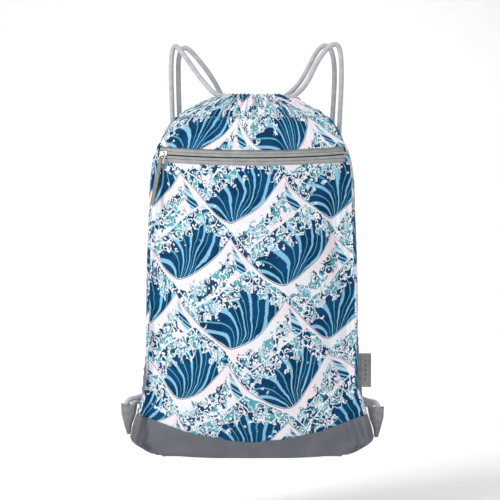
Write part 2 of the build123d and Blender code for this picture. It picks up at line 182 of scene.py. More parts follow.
# ---- meshes ----------------------------------------------------------------------------------------------
def mesh_object(name, points, faces, places=None):
    """A smooth mesh object. places gives each face's corners their place on the cloth."""
    points = np.asarray(points, float).reshape(-1, 3)
    if not np.isfinite(points).all():
        raise ValueError(f"{name} has a point that isn't finite")
    mesh = bpy.data.meshes.new(name)
    mesh.from_pydata(points.tolist(), [], np.asarray(faces).tolist())
    if places is not None:
        layer = mesh.uv_layers.new(name=CLOTH_MAP)
        layer.data.foreach_set("uv", np.asarray(places, np.float32).ravel())
    mesh.polygons.foreach_set("use_smooth", [True] * len(mesh.polygons))
    mesh.update()
    piece = bpy.data.objects.new(name, mesh)
    bpy.context.scene.collection.objects.link(piece)
    return piece


def corners_of(grid):
    """The four corners of each cell of a grid, as an array of rows, columns and corners."""
    return np.stack([grid[:-1, :-1], grid[1:, :-1], grid[1:, 1:], grid[:-1, 1:]], axis=2)


def grid_object(name, points, cloth, wrap=False, keep=None, close=False):
    """A piece made of a grid of points (rows, columns). wrap joins the last column to the first one: cloth
    then has one column more. keep is a mask of the cells to make. close fills the holes at a tube's ends."""
    rows, columns = points.shape[:2]
    index = np.arange(rows * columns).reshape(rows, columns)
    if wrap:
        index = np.hstack([index, index[:, :1]])
    faces = corners_of(index)
    places = corners_of(cloth)
    if keep is not None:
        faces = faces[keep]
        places = places[keep]
    piece = mesh_object(name, points, faces.reshape(-1, 4), places.reshape(-1, 4, 2))
    shape = bmesh.new()
    shape.from_mesh(piece.data)
    bmesh.ops.delete(shape, geom=[v for v in shape.verts if not v.link_faces], context="VERTS")
    bmesh.ops.remove_doubles(shape, verts=shape.verts, dist=1e-6)
    if close:
        bmesh.ops.holes_fill(shape, edges=[e for e in shape.edges if e.is_boundary])
    shape.to_mesh(piece.data)
    shape.free()
    return piece


def thicken(piece, thickness, offset=-1.0):
    """Gives a sheet its thickness."""
    modifier = piece.modifiers.new("thickness", "SOLIDIFY")
    modifier.thickness = thickness
    modifier.offset = offset
    modifier.use_quality_normals = True


def dress(piece, material, body="bag", replaced=()):
    """The material, slot and body of a finished piece, and the CAD nodes that it stands for."""
    piece.data.materials.clear()
    piece.data.materials.append(material)
    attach(piece, body)
    if replaced:
        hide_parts(*replaced)
    return piece


def lengths_along(points):
    """The distance along a row of points, from its start."""
    steps = np.linalg.norm(np.diff(points, axis=0), axis=1)
    return np.concatenate([[0], np.cumsum(steps)])


def evenly(points, step):
    """The same line with evenly spaced points."""
    along = lengths_along(points)
    count = max(3, round(along[-1] / step))
    wanted = np.linspace(0, along[-1], count + 1)
    return np.stack([np.interp(wanted, along, points[:, axis]) for axis in range(3)], axis=1)


def unit(vectors):
    """The same vectors, one unit long."""
    return vectors / np.maximum(np.linalg.norm(vectors, axis=-1, keepdims=True), 1e-12)


# ---- the cords -------------------------------------------------------------------------------------------
def smooth_line(route):
    """The points of the NURBS line that has a route as its control points."""
    curve = bpy.data.curves.new("route", "CURVE")
    curve.dimensions = "3D"
    spline = curve.splines.new("NURBS")
    spline.points.add(len(route) - 1)
    for point, place in zip(spline.points, route):
        point.co = (*place, 1)
    spline.order_u = 3
    spline.use_endpoint_u = True
    spline.resolution_u = 24
    holder = bpy.data.objects.new("route", curve)
    bpy.context.scene.collection.objects.link(holder)
    mesh = bpy.data.meshes.new_from_object(holder)
    points = np.array([vertex.co for vertex in mesh.vertices])
    bpy.data.objects.remove(holder)
    bpy.data.meshes.remove(mesh)
    return points


def frames_along(line):
    """Two directions across a line at each of its points, which turn as little as they can."""
    ahead = unit(np.gradient(line, axis=0))
    first = np.cross(ahead[0], (0.0, 1.0, 0.0))
    across = [first / np.linalg.norm(first)]
    for before, after in zip(ahead, ahead[1:]):
        # The shortest turn from one direction to the next, which also holds at a square corner.
        shift = (before + after) * np.dot(across[-1], after) / (1 + np.dot(before, after))
        across.append(unit(across[-1] - shift))
    across = np.array(across)
    return across, np.cross(ahead, across)


def braided_tube(name, line, diameter):
    """A round braided cord: strands that cross over each other in two directions."""
    around = 24
    strands = 6  # in each direction
    pitch = 0.016  # length in which a strand goes once round
    line = evenly(line, 0.0009)
    along = lengths_along(line)[:, None]
    angle = np.linspace(0, 2 * math.pi, around, endpoint=False)[None, :]
    turn = along * 2 * math.pi / pitch
    right = np.cos((angle + turn) * strands / 2)
    left = np.cos((angle - turn) * strands / 2)
    bulge = np.maximum(right**2, left**2)
    radius = (diameter / 2) * (0.95 + 0.07 * bulge)
    first, second = frames_along(line)
    ring = first[:, None] * np.cos(angle)[..., None] + second[:, None] * np.sin(angle)[..., None]
    points = line[:, None] + ring * radius[..., None]
    girth = np.linspace(0, math.pi * diameter, around + 1)[None, :]
    cloth = np.stack(np.broadcast_arrays(girth, along), axis=-1)
    return grid_object(name, points, cloth, wrap=True, close=True), line


def make_cords(material):
    """The four free lengths, and the length of each cord inside the casings."""
    for name, route in CORD_ROUTES.items():
        piece, line = braided_tube("braided_" + name, smooth_line(route), CORD_DIAMETER)
        dress(piece, material, replaced=[name])
    for name, lane, side in (("left", OUTER_LANE, -1), ("right", INNER_LANE, 1)):
        near = side * 0.022
        far = -side * 0.040
        bend = far - side * lane
        route = [(near, -lane, CORD_LEVEL), (far, -lane, CORD_LEVEL), (bend, -0.8 * lane, CORD_LEVEL)]
        route += [(x, -y, z) for x, y, z in reversed(route)]
        piece, _ = braided_tube("braided_cord_" + name + "_in_casing", smooth_line(route), CORD_DIAMETER)
        dress(piece, material, replaced=["cord_" + name + "_in_casing"])


# ---- the bag's surface -----------------------------------------------------------------------------------
def section_values(heights):
    """The five sizes of the bag's section at each height, in millimetres, smooth between the listed ones."""
    table = np.array(BODY_SECTIONS[::-1], float)
    levels = table[:, 0]
    slopes = np.gradient(table[:, 1:], levels, axis=0)
    place = np.clip(np.searchsorted(levels, heights, side="right") - 1, 0, len(levels) - 2)
    span = levels[place + 1] - levels[place]
    share = np.clip((heights - levels[place]) / span, 0, 1)[..., None]
    low, high = table[place, 1:], table[place + 1, 1:]
    low_slope, high_slope = slopes[place] * span[..., None], slopes[place + 1] * span[..., None]
    smooth = share * share * (3 - 2 * share)
    bow = share * (1 - share) * ((1 - share) * low_slope - share * high_slope)
    curved = low + smooth * (high - low) + bow
    straight = low + share * (high - low)
    return np.where(heights[..., None] < STRAIGHT_BELOW, straight, curved)


def arc_across(half, seam, reach, share):
    """X and Y on an arc that bulges from the seams to its reach, where share goes from -1 to 1."""
    sag = reach - seam
    radius = (half**2 + sag**2) / (2 * sag)
    angle = np.arcsin(np.clip(half / radius, -1, 1)) * share
    return radius * np.sin(angle), seam + sag - radius * (1 - np.cos(angle))


def bag_surface(panel, share, heights):
    """Points on the front, the back or a gusset, in millimetres. share goes from -1 to 1 towards +X on the
    front and back, and from 0 at a gusset's front seam to 1 at its rear seam."""
    half, front, rear, front_seam, rear_seam = np.moveaxis(section_values(heights), -1, 0)
    if panel == "front":
        x, y = arc_across(half - SEAM_INSET, -front_seam, front, share)
        return np.stack([x, -y, heights], axis=-1)
    if panel == "back":
        x, y = arc_across(half, rear_seam, rear, share)
        return np.stack([x, y, heights], axis=-1)
    side = 1 if panel == "right" else -1
    x = half - SEAM_INSET * (1 - share) ** 2 + 1.2 * np.sin(math.pi * share)
    y = front_seam + (rear_seam - front_seam) * share
    return np.stack([side * x, y, heights], axis=-1)


def crowded(count, crowding):
    """Numbers from -1 to 1 that lie closer together near both ends."""
    share = np.linspace(-1, 1, count)
    return (1 - crowding) * share + crowding * np.sin(share * math.pi / 2)


def zip_height(x):
    """The height of the zip's middle at X, in millimetres."""
    return ZIP_MIDDLE[2] + ZIP_DIP * np.clip(np.abs(x) / ZIP_HALF_CHORD, 0, 1.05) ** 2


def base_seam_height(x):
    """The height of the base seam at X, in millimetres."""
    return BASE_SEAM_MIDDLE + BASE_SEAM_RISE * (np.abs(x) / BASE_SEAM_REACH) ** 2


FRONT_COLUMNS = 92
GUSSET_COLUMNS = 9
PANEL_CROWDING = 0.6  # how much closer the columns lie near a panel's seams
UPPER_ROWS = 20
SLOT_ROWS = 8
POCKET_ROWS = 96
BASE_ROWS = 20
BOTTOM_ROWS = 5
ROW_ZIP_TOP = UPPER_ROWS
ROW_ZIP_MIDDLE = UPPER_ROWS + SLOT_ROWS // 2
ROW_ZIP_FOOT = UPPER_ROWS + SLOT_ROWS
ROW_BASE = ROW_ZIP_FOOT + POCKET_ROWS
ROW_FOOT = ROW_BASE + BASE_ROWS


def column_layout():
    """Each column round the bag: its panel and its share across that panel."""
    across = crowded(FRONT_COLUMNS, PANEL_CROWDING)
    layout = [("front", share) for share in across[:-1]]
    layout += [("right", share) for share in np.linspace(0, 1, GUSSET_COLUMNS)[:-1]]
    layout += [("back", share) for share in across[:0:-1]]
    layout += [("left", share) for share in np.linspace(1, 0, GUSSET_COLUMNS)[:-1]]
    return layout


def column_heights(panel, share):
    """The height of every row of one column: down to the zip, past it, down to the base seam and the foot."""
    middle = zip_height(bag_surface(panel, share, np.array(-141.0))[0] if panel == "front" else 124)
    seam = BASE_SEAM_MIDDLE + BASE_SEAM_RISE / 2
    for _ in range(12):
        seam = 0.5 * (seam + base_seam_height(bag_surface(panel, share, np.array(float(seam)))[0]))
    runs = [
        (CASING_FOOT, middle + SLOT_HALF, UPPER_ROWS, 0.3),
        (middle + SLOT_HALF, middle - SLOT_HALF, SLOT_ROWS, 0.0),
        (middle - SLOT_HALF, seam, POCKET_ROWS, 0.6),
        (seam, BODY_FOOT, BASE_ROWS, 0.5),
    ]
    heights = [np.array([float(CASING_FOOT)])]
    for start, end, count, crowding in runs:
        share_down = (crowded(count + 1, crowding) + 1) / 2
        heights.append(start + (end - start) * share_down[1:])
    return np.concatenate(heights)


def bag_grid():
    """The bag's cloth as it is drawn: rows down, columns round, in metres. The last rows close the bottom."""
    columns = [bag_surface(panel, share, column_heights(panel, share)) for panel, share in column_layout()]
    grid = np.stack(columns, axis=1) * MM
    foot = grid[-1]
    middle = np.stack([foot[:, 0] * 0.97, np.full(len(foot), -0.004), foot[:, 2]], axis=-1)
    rows = []
    for step in range(1, BOTTOM_ROWS + 1):
        share = step / BOTTOM_ROWS
        row = foot + (middle - foot) * share
        row[:, 2] -= 0.0012 * math.sin(math.pi / 2 * share)
        rows.append(row)
    return np.concatenate([grid, np.stack(rows)])


def column_range(panel):
    """The columns of one panel, from seam to seam."""
    front = FRONT_COLUMNS - 1
    gusset = GUSSET_COLUMNS - 1
    total = 2 * front + 2 * gusset
    start = {"front": 0, "right": front, "back": front + gusset, "left": 2 * front + gusset}[panel]
    count = gusset if panel in ("left", "right") else front
    return np.arange(start, start + count + 1) % total


def grid_normals(grid):
    """The outward direction at each point of the bag's grid."""
    down = np.gradient(grid, axis=0)
    around = (np.roll(grid, -1, axis=1) - np.roll(grid, 1, axis=1)) / 2
    return unit(np.cross(down, around))


def fold_wave(share, seed):
    """Uneven gathers across a panel: a number near -1 to 1 for each share across."""
    rng = np.random.default_rng(seed)
    wave = 0
    for turns, size in ((6.5, 1.0), (10.5, 0.7), (17.0, 0.4)):
        phase = rng.uniform(0, 2 * math.pi, 2)
        bent = share + 0.05 * np.sin(3.1 * share + phase[0])
        wave = wave + size * np.sin(math.pi * turns * bent + phase[1])
    return wave / 1.6


def fade(value, start, end):
    """1 at start, 0 at end and smooth between them."""
    share = np.clip((value - start) / (end - start), 0, 1)
    return 1 - share * share * (3 - 2 * share)


def gather_depth(share, height, seed):
    """How far the gathers stand out at each share across and height, in millimetres."""
    broad = fold_wave(share, seed)
    fine = np.sin(2 * math.pi * (13 * share + 0.4 * broad))
    depth = 3.0 * fade(height, CASING_TOP, -150) ** 1.5 * (0.5 + 0.5 * broad)
    depth = depth + 3.2 * fade(height, CASING_TOP, -104) * (0.5 + 0.5 * fine)
    return depth * (1 - np.abs(share) ** 6)


def panel_share(panel):
    """The share across of each of a panel's columns."""
    if panel in ("front", "back"):
        shares = crowded(FRONT_COLUMNS, PANEL_CROWDING)
        return shares if panel == "front" else shares[::-1]
    shares = np.linspace(0, 1, GUSSET_COLUMNS)
    return shares if panel == "right" else shares[::-1]


# Creases pressed into the panels by handling: X and Z of both ends, depth and width, all in millimetres.
FRONT_CREASES = [
    (-106, -168, -128, -330, -3.2, 7),
    (-92, -172, -116, -300, 2.4, 9),
    (108, -168, 128, -320, -3.0, 7),
    (84, -172, 112, -262, 2.2, 9),
    (-128, -452, -52, -420, -2.6, 8),
    (134, -448, 58, -405, -2.8, 8),
    (-64, -330, 20, -356, 1.8, 12),
    (10, -236, 92, -258, 1.8, 12),
    (96, -350, 126, -432, -2.4, 8),
    (-30, -470, 40, -462, -2.0, 9),
    (-70, -128, -40, -98, -2.2, 6),
    (74, -130, 48, -98, -2.2, 6),
]
BACK_CREASES = [
    (-104, -140, -126, -320, -2.6, 9),
    (102, -140, 124, -300, -2.6, 9),
    (-128, -448, -40, -410, -2.4, 9),
    (126, -448, 50, -400, -2.4, 9),
    (-50, -260, 40, -286, 2.0, 12),
]


def crease_depth(creases, x, z):
    """How far the creases stand out (or, below zero, sink in) at places on a panel, in millimetres."""
    depth = np.zeros(np.broadcast(x, z).shape)
    for x_start, z_start, x_end, z_end, size, width in creases:
        run, drop = x_end - x_start, z_end - z_start
        length = math.hypot(run, drop)
        along = ((x - x_start) * run + (z - z_start) * drop) / length**2
        beside = ((x - x_start) * drop - (z - z_start) * run) / length
        bend = 0.09 * length * np.sin(math.pi * np.clip(along, 0, 1))
        middle = 1 - np.clip(np.abs(along - 0.5) * 2, 0, 1.2) ** 2
        depth += 1.3 * size * np.maximum(middle, 0) * np.exp(-(((beside - bend) / width) ** 2))
    return depth


def gathered_grid(grid):
    """The bag's grid with its creases, and with the gathers of the drawn mouth down its front and back."""
    plan = (("front", -1, 3, FRONT_CREASES), ("back", 1, 5, BACK_CREASES))
    for panel, side, seed, creases in plan:
        columns = column_range(panel)
        share = panel_share(panel)[None, :]
        x, z = grid[:, columns, 0] / MM, grid[:, columns, 2] / MM
        depth = gather_depth(share, z, seed) + crease_depth(creases, x, z) * (1 - np.abs(share) ** 12)
        grid[:ROW_BASE, columns, 1] += side * MM * depth[:ROW_BASE]
    return grid


SETTLING_LIMIT = 6  # how far the simulation may carry any point, in millimetres
SIDEWAYS_SHARE = 0.15  # the part of its sideways movement that is kept, so that the outline holds
SOFTLY_HELD = 0.6  # how firmly the rows beside the zip are held
SETTLING_FRAMES = 25


def settle(grid):
    """Cloth simulation of the whole bag: filled softly, hung from its casings and stiff along its zip."""
    rows, columns = grid.shape[:2]
    index = np.arange(rows * columns).reshape(rows, columns)
    faces = corners_of(np.hstack([index, index[:, :1]])).reshape(-1, 4)
    bag = mesh_object("settling_bag", grid, faces)
    bag.shape_key_add(name="Basis")
    slack = bag.shape_key_add(name="slack")
    height = grid[..., 2] / MM
    wider = 1.012 + 0.035 * fade(height, CASING_FOOT, -190)
    cut = grid.copy()
    cut[..., 0] *= wider
    cut[..., 1] *= wider
    cut[..., 2] *= 1.012
    slack.data.foreach_set("co", cut.astype(np.float32).ravel())
    held = np.zeros((rows, columns))
    held[:2] = 1
    front = column_range("front")
    held[ROW_ZIP_TOP : ROW_ZIP_FOOT + 1, front] = 1
    held[ROW_ZIP_TOP - 1, front] = SOFTLY_HELD
    held[ROW_ZIP_FOOT + 1, front] = SOFTLY_HELD
    held[ROW_FOOT - 2 :] = 1
    group = bag.vertex_groups.new(name="held")
    for weight in (SOFTLY_HELD, 1):
        group.add(index[held == weight].tolist(), weight, "REPLACE")
    cloth = bag.modifiers.new("cloth", "CLOTH")
    settings = cloth.settings
    settings.vertex_group_mass = "held"
    settings.rest_shape_key = slack
    settings.use_pressure = True
    settings.uniform_pressure_force = 0.35
    settings.quality = 6
    settings.mass = 0.25
    settings.tension_stiffness = 12
    settings.compression_stiffness = 12
    settings.shear_stiffness = 4
    settings.bending_stiffness = 0.4
    settings.effector_weights.gravity = 0.3
    cloth.collision_settings.use_self_collision = False
    scene = bpy.context.scene
    for frame_number in range(1, SETTLING_FRAMES + 1):
        scene.frame_set(frame_number)
    graph = bpy.context.evaluated_depsgraph_get()
    settled = bag.evaluated_get(graph).to_mesh()
    points = np.zeros(rows * columns * 3, np.float32)
    settled.vertices.foreach_get("co", points)
    scene.frame_set(1)
    bpy.data.objects.remove(bag)
    moved = points.reshape(rows, columns, 3).astype(float) - grid
    moved[..., 0] *= SIDEWAYS_SHARE
    size = np.linalg.norm(moved, axis=-1, keepdims=True)
    return grid + moved * np.minimum(1, SETTLING_LIMIT * MM / np.maximum(size, 1e-9))


def seam_grooves(grid):
    """Pulls the cloth in along its seams, with small uneven puckers beside them."""
    normals = grid_normals(grid)
    depth = np.zeros(grid.shape[:2])
    down = lengths_along(grid[:, 0])[:, None]
    ripple = np.sin(down * 2 * math.pi / 0.013) + 0.7 * np.sin(down * 2 * math.pi / 0.0081 + 1)
    around = np.cumsum(np.linalg.norm(np.roll(grid, -1, axis=1) - grid, axis=-1), axis=1)
    total = around[:, -1:]
    for panel in ("front", "right", "back", "left"):
        seam = column_range(panel)[0]
        away = np.abs(around - around[:, seam : seam + 1])
        away = np.minimum(away, total - away)
        depth -= 0.0011 * np.exp(-((away / 0.0016) ** 2))
        depth += 0.00022 * ripple * np.exp(-((away / 0.007) ** 2))
    seam_line = np.abs(down - down[ROW_BASE])
    across = np.sin(around * 2 * math.pi / 0.015) + 0.6 * np.sin(around * 2 * math.pi / 0.0093)
    depth -= 0.0008 * np.exp(-((seam_line / 0.0014) ** 2))
    depth += 0.00018 * across * np.exp(-((seam_line / 0.008) ** 2))
    depth[ROW_FOOT:] = 0
    return grid + normals * depth[..., None]


def corner_pleats(grid):
    """Soft pleats in the base where it is drawn in towards its two corners."""
    x = np.abs(grid[..., 0]) / MM
    z = grid[..., 2] / MM
    turn = (x - 112) / 8.5 + (z + 500) / 26
    depth = np.sin(2 * math.pi * turn) * fade(x, 152, 112) * fade(x, 148, 158) * fade(z, -484, -462)
    depth[ROW_FOOT:] = 0
    side = np.zeros(grid.shape[1])
    side[column_range("front")] = 1.5
    side[column_range("back")] = 1.0
    return grid + grid_normals(grid) * (depth * side * MM)[..., None]


def cloth_across(grid, panel):
    """How far each of a panel's columns lies from its middle on the flat cloth, in metres."""
    across = lengths_along(grid[ROW_ZIP_FOOT + POCKET_ROWS // 2, column_range(panel)])
    return across - across[-1] / 2


def cloth_places(grid, panel, rows, phase):
    """Each point's place on the panel's flat cloth: across and up, in metres, moved by the panel's phase."""
    columns = column_range(panel)
    down = lengths_along(grid[:, columns[len(columns) // 2]])
    u, v = np.meshgrid(cloth_across(grid, panel) + phase[0], phase[1] - down[rows])
    return np.stack([u, v], axis=-1)


def panel_piece(name, grid, panel, rows, phase, keep=None):
    """One panel cut from the bag's grid. A gusset goes on above it, leaning in to the casings' ends."""
    points = grid[np.ix_(rows, column_range(panel))]
    cloth = cloth_places(grid, panel, rows, phase)
    if panel in ("left", "right"):
        heights = np.linspace(GUSSET_TOP, CASING_FOOT, 7)[:-1]
        rising = [bag_surface(panel, panel_share(panel), np.full(GUSSET_COLUMNS, z)) * MM for z in heights]
        points = np.concatenate([np.stack(rising), points])
        above = np.repeat(cloth[:1], len(heights), axis=0)
        above[..., 1] += lengths_along(points[: len(heights) + 1, GUSSET_COLUMNS // 2])[:0:-1, None]
        cloth = np.concatenate([above, cloth])
    return grid_object(name, points, cloth, keep=keep), cloth


def slot_mask(grid, rows):
    """The cells of the front that aren't cut away for the zip."""
    columns = column_range("front")
    x = grid[np.ix_(rows, columns)][..., 0]
    middle = (x[:-1, :-1] + x[1:, 1:]) / 2
    in_slot = (rows[:-1] >= ROW_ZIP_TOP) & (rows[:-1] < ROW_ZIP_FOOT)
    return ~(in_slot[:, None] & (np.abs(middle) < SLOT_END * MM))


def make_panels(grid, materials):
    """The printed panels and the plain base, cut from the settled cloth."""
    upper_rows = np.arange(0, ROW_ZIP_MIDDLE + 1)
    pocket_rows = np.arange(ROW_ZIP_MIDDLE, ROW_BASE + 1)
    side_rows = np.arange(0, ROW_BASE + 1)
    plan = [
        ("front_upper_cloth", "front", upper_rows, (0.02, 0.30), "front_upper_panel"),
        ("front_pocket_cloth", "front", pocket_rows, (0.02, 0.30), "front_pocket_panel"),
        ("back_cloth", "back", side_rows, (0.13, 0.05), "back_panel"),
        ("side_gusset_cloth_left", "left", side_rows, (0.31, 0.14), "side_gusset_left"),
        ("side_gusset_cloth_right", "right", side_rows, (0.42, 0.20), "side_gusset_right"),
    ]
    for name, panel, rows, phase, node in plan:
        keep = slot_mask(grid, rows) if panel == "front" else None
        piece, cloth = panel_piece(name, grid, panel, rows, phase, keep)
        thicken(piece, 0.0009)
        dress(piece, materials["print"], replaced=[node])
    make_base(grid, materials["base"])


def make_base(grid, material):
    """The base: one grey panel round the foot of the bag, with its bottom."""
    rows = np.arange(ROW_BASE, len(grid))
    points = grid[rows].copy()
    around = lengths_along(np.vstack([points[0], points[0, :1]]))
    down = lengths_along(points[:, FRONT_COLUMNS // 2])
    u, v = np.meshgrid(around, -down)
    piece = grid_object("base_cloth", points, np.stack([u, v], axis=-1), wrap=True)
    thicken(piece, 0.0011)
    dress(piece, material, replaced=["base_panel"])


# ---- the casings -----------------------------------------------------------------------------------------
OUTSIDE_ROWS = 14
OVER_ROWS = 11
INSIDE_ROWS = 9


def casing_half(height):
    """The half width of the gathered top at a height, in millimetres."""
    levels, halves = np.array(CASING_OUTLINE[::-1], float).T
    return np.interp(height, levels, halves)


def make_casing(grid, name, panel, side, seed, phase, material):
    """One gathered hem: up its outside, over the top and down its inside to the seam at its foot."""
    share = crowded(2 * FRONT_COLUMNS, 0.3)
    foot = bag_surface("front" if side < 0 else "back", share, np.full(share.shape, float(CASING_FOOT)))
    foot_depth = np.abs(foot[:, 1])
    top_depth = 24.5 - 3.5 * share**2
    radius = (top_depth - CASING_INNER) / 2
    shoulder = CASING_TOP - radius
    rows = []
    for step in np.linspace(0, 1, OUTSIDE_ROWS):
        height = CASING_FOOT + (shoulder - CASING_FOOT) * step
        rows.append((height, foot_depth + (top_depth - foot_depth) * step, 1.0))
    for angle in np.linspace(0, math.pi, OVER_ROWS + 1)[1:]:
        depth = CASING_INNER + radius + radius * np.cos(angle)
        rows.append((shoulder + radius * np.sin(angle), depth, 0.15 + 0.85 * math.cos(angle)))
    for step in np.linspace(0, 1, INSIDE_ROWS + 1)[1:]:
        height = shoulder + (CASING_FOOT + 1.5 - shoulder) * step
        depth = CASING_INNER + (foot_depth - 2.0 - CASING_INNER) * step**1.6
        rows.append((height, depth, -0.7 + 0.4 * step))
    widest = np.abs(foot[-1, 0]) / casing_half(CASING_FOOT)
    points = []
    for height, depth, push in rows:
        height = np.broadcast_to(height, share.shape)
        half = casing_half(height) * (1 + (widest - 1) * fade(height, CASING_FOOT, CASING_TOP))
        folded = depth + push * gather_depth(share, height, seed)
        ruffle = 0.9 * np.sin(2 * math.pi * (9 * share + 0.2)) * fade(height, CASING_TOP, -76)
        points.append(np.stack([share * half, side * folded, height + ruffle], axis=-1))
    points = np.stack(points) * MM
    keep = np.ones((len(points) - 1, len(share) - 1), bool)
    over_top = slice(OUTSIDE_ROWS - 1, OUTSIDE_ROWS + OVER_ROWS - 1)
    keep[over_top] = np.abs(share[:-1] + share[1:]) / 2 < 0.86
    across = np.interp(share, np.sort(panel_share("front")), cloth_across(grid, panel))
    u, v = np.meshgrid(-side * across + phase[0], phase[1] + lengths_along(points[:, len(share) // 2]))
    if side < 0:
        points, keep, u, v = points[::-1], keep[::-1], u[::-1], v[::-1]
    piece = grid_object(name, points, np.stack([u, v], axis=-1), keep=keep)
    thicken(piece, 0.0008, offset=0)
    dress(piece, material, replaced=["casing_" + panel])


# ---- ribbons, threads and stitches -------------------------------------------------------------------------
def tube(name, line, radius, sides):
    """A plain round tube along a line."""
    first, second = frames_along(line)
    angle = np.linspace(0, 2 * math.pi, sides, endpoint=False)
    ring = first[:, None] * np.cos(angle)[:, None] + second[:, None] * np.sin(angle)[:, None]
    points = line[:, None] + ring * radius
    u, v = np.meshgrid(np.linspace(0, 2 * math.pi * radius, sides + 1), lengths_along(line))
    return grid_object(name, points, np.stack([u, v], axis=-1), wrap=True, close=True)


def swept(name, section, place):
    """A solid bar: place turns the section's points (N, 2) into a row of points for each step along it."""
    rows = place(section[:, 0], section[:, 1])
    closed = np.vstack([section, section[:1]])
    u, v = np.meshgrid(closed[:, 0] * MM, lengths_along(rows[:, 0]))
    return grid_object(name, rows, np.stack([u, v], axis=-1), wrap=True, close=True)


def rounded_section(width, thick):
    """The outline of a flat ribbon with round edges, in millimetres, as points across and out."""
    steps = 6  # points round each edge
    half = (width - thick) / 2
    points = []
    for centre, start in ((half, -math.pi / 2), (-half, math.pi / 2)):
        for angle in np.linspace(start, start + math.pi, steps):
            points.append((centre + thick / 2 * math.cos(angle), thick / 2 * math.sin(angle)))
    top = [(x, thick / 2) for x in np.linspace(half, -half, 8)[1:-1]]
    foot = [(x, -thick / 2) for x in np.linspace(-half, half, 8)[1:-1]]
    return np.array(points[:steps] + top + points[steps:] + foot)


def ribbon(name, line, across, width, thick):
    """A flat ribbon along a line, in millimetres. across is the direction of its width at each point."""
    ahead = unit(np.gradient(line, axis=0))
    across = unit(np.broadcast_to(np.asarray(across, float), line.shape))
    out = unit(np.cross(across, ahead))

    def place(x, y):
        return line[:, None] + (across[:, None] * x[:, None] + out[:, None] * y[:, None]) * MM

    return swept(name, rounded_section(width, thick), place)


def stitch_row(name, line, outward, pitch=0.0034, length=0.0025, radius=0.0003):
    """Single stitches in a row: short threads that dive into the cloth at both ends."""
    along = lengths_along(line)
    starts = np.arange(pitch / 2, along[-1] - length, pitch)
    share = np.array([0, 0.18, 0.5, 0.82, 1.0])
    lift = np.array([-1.0, 0.55, 0.8, 0.55, -1.0]) * radius
    girth = np.array([0.6, 1.0, 1.0, 1.0, 0.6]) * radius
    angle = np.linspace(0, 2 * math.pi, 6, endpoint=False)
    points = []
    faces = []
    for start in starts:
        where = start + share * length
        middle = np.stack([np.interp(where, along, line[:, axis]) for axis in range(3)], axis=1)
        up = unit(np.stack([np.interp(where, along, outward[:, axis]) for axis in range(3)], axis=1))
        ahead = unit(middle[-1] - middle[0])
        side = np.cross(np.broadcast_to(ahead, up.shape), up)
        ring = side[:, None] * np.cos(angle)[:, None] + up[:, None] * np.sin(angle)[:, None]
        first = len(points) * len(angle)
        for row, (centre, raised, size) in enumerate(zip(middle, lift, girth)):
            points.append(centre + up[row] * raised + ring[row] * size)
        for row in range(len(share) - 1):
            for turn in range(len(angle)):
                after = (turn + 1) % len(angle)
                low = first + row * len(angle)
                high = low + len(angle)
                faces.append((low + turn, low + after, high + after, high + turn))
    return mesh_object(name, np.concatenate(points), faces)


def zigzag(name, first_edge, second_edge, radius=0.00028):
    """A thread that runs to and fro between two edges, as in a bartack."""
    line = np.empty((2 * len(first_edge), 3))
    line[::2] = first_edge
    line[1::2] = second_edge
    return tube(name, evenly(line, 0.0003), radius, sides=6)


# ---- the zip -----------------------------------------------------------------------------------------------
ZIP_RISE = math.hypot(ZIP_SAG, ZIP_DIP)
ZIP_RADIUS = (ZIP_HALF_CHORD**2 + ZIP_RISE**2) / (2 * ZIP_RISE)
ZIP_CENTRE = np.array(ZIP_MIDDLE) + ZIP_RADIUS / ZIP_RISE * np.array([0, ZIP_SAG, ZIP_DIP])
ZIP_AXIS = np.array([0, -ZIP_DIP, ZIP_SAG]) / ZIP_RISE
UP_TAPE = np.array([0, math.sin(math.radians(ZIP_LEAN)), math.cos(math.radians(ZIP_LEAN))])
OUT_OF_TAPE = np.array([0, -UP_TAPE[2], UP_TAPE[1]])


def zip_angle(x):
    """The angle round the zip's arc from its middle to X, in millimetres."""
    return np.arcsin(x / ZIP_RADIUS)


ZIP_END = zip_angle(ZIP_HALF_CHORD)
SLIDER_ANGLE = zip_angle(-113.5)


def on_zip(along, up, out, angle):
    """Points beside the zip's middle, moved round its arc: along the tape, up it and out of it, in
    millimetres, to places in metres."""
    along, up, out, angle = np.broadcast_arrays(along, up, out, angle)
    start = np.array(ZIP_MIDDLE) + along[..., None] * np.array([1.0, 0, 0])
    arm = start + up[..., None] * UP_TAPE + out[..., None] * OUT_OF_TAPE - ZIP_CENTRE
    cosine, sine = np.cos(angle)[..., None], np.sin(angle)[..., None]
    level = (arm @ ZIP_AXIS)[..., None] * ZIP_AXIS
    return (ZIP_CENTRE + arm * cosine + np.cross(ZIP_AXIS, arm) * sine + level * (1 - cosine)) * MM


def zip_direction(along, up, out, angle):
    """A direction beside the zip, measured as in on_zip."""
    return on_zip(along, up, out, angle) - on_zip(0.0, 0.0, 0.0, angle)


def make_tape(name, side, material):
    """One tape: flat where it is sewn in, raised over the coil, with a woven groove between."""
    across = np.array([0.62, 0.7, 0.9, 1.6, 2.6, 3.4, 4.0, 4.3, 4.6, 5.0, 5.6, 7, 9, 11, 12.2])
    front = np.array([0.1, 0.4, 0.6, 0.75, 0.8, 0.75, 0.6, 0.3, 0.15, 0.3, 0.4, 0.42, 0.4, 0.4, 0.4])
    back = np.full(len(across), -0.4)
    section = np.stack([np.concatenate([across, across[::-1]]), np.concatenate([front, back])], axis=1)
    angle = np.linspace(-ZIP_END, ZIP_END, 320)[:, None]
    sag = 0.15 * np.sin(angle * 61) + 0.1 * np.sin(angle * 143 + 1)

    def place(up, out):
        return on_zip(0.0, side * up[None, :], out[None, :] + sag, angle)

    piece = swept(name, section, place)
    return dress(piece, material, replaced=["zip_tape_" + name.split("_")[0]])


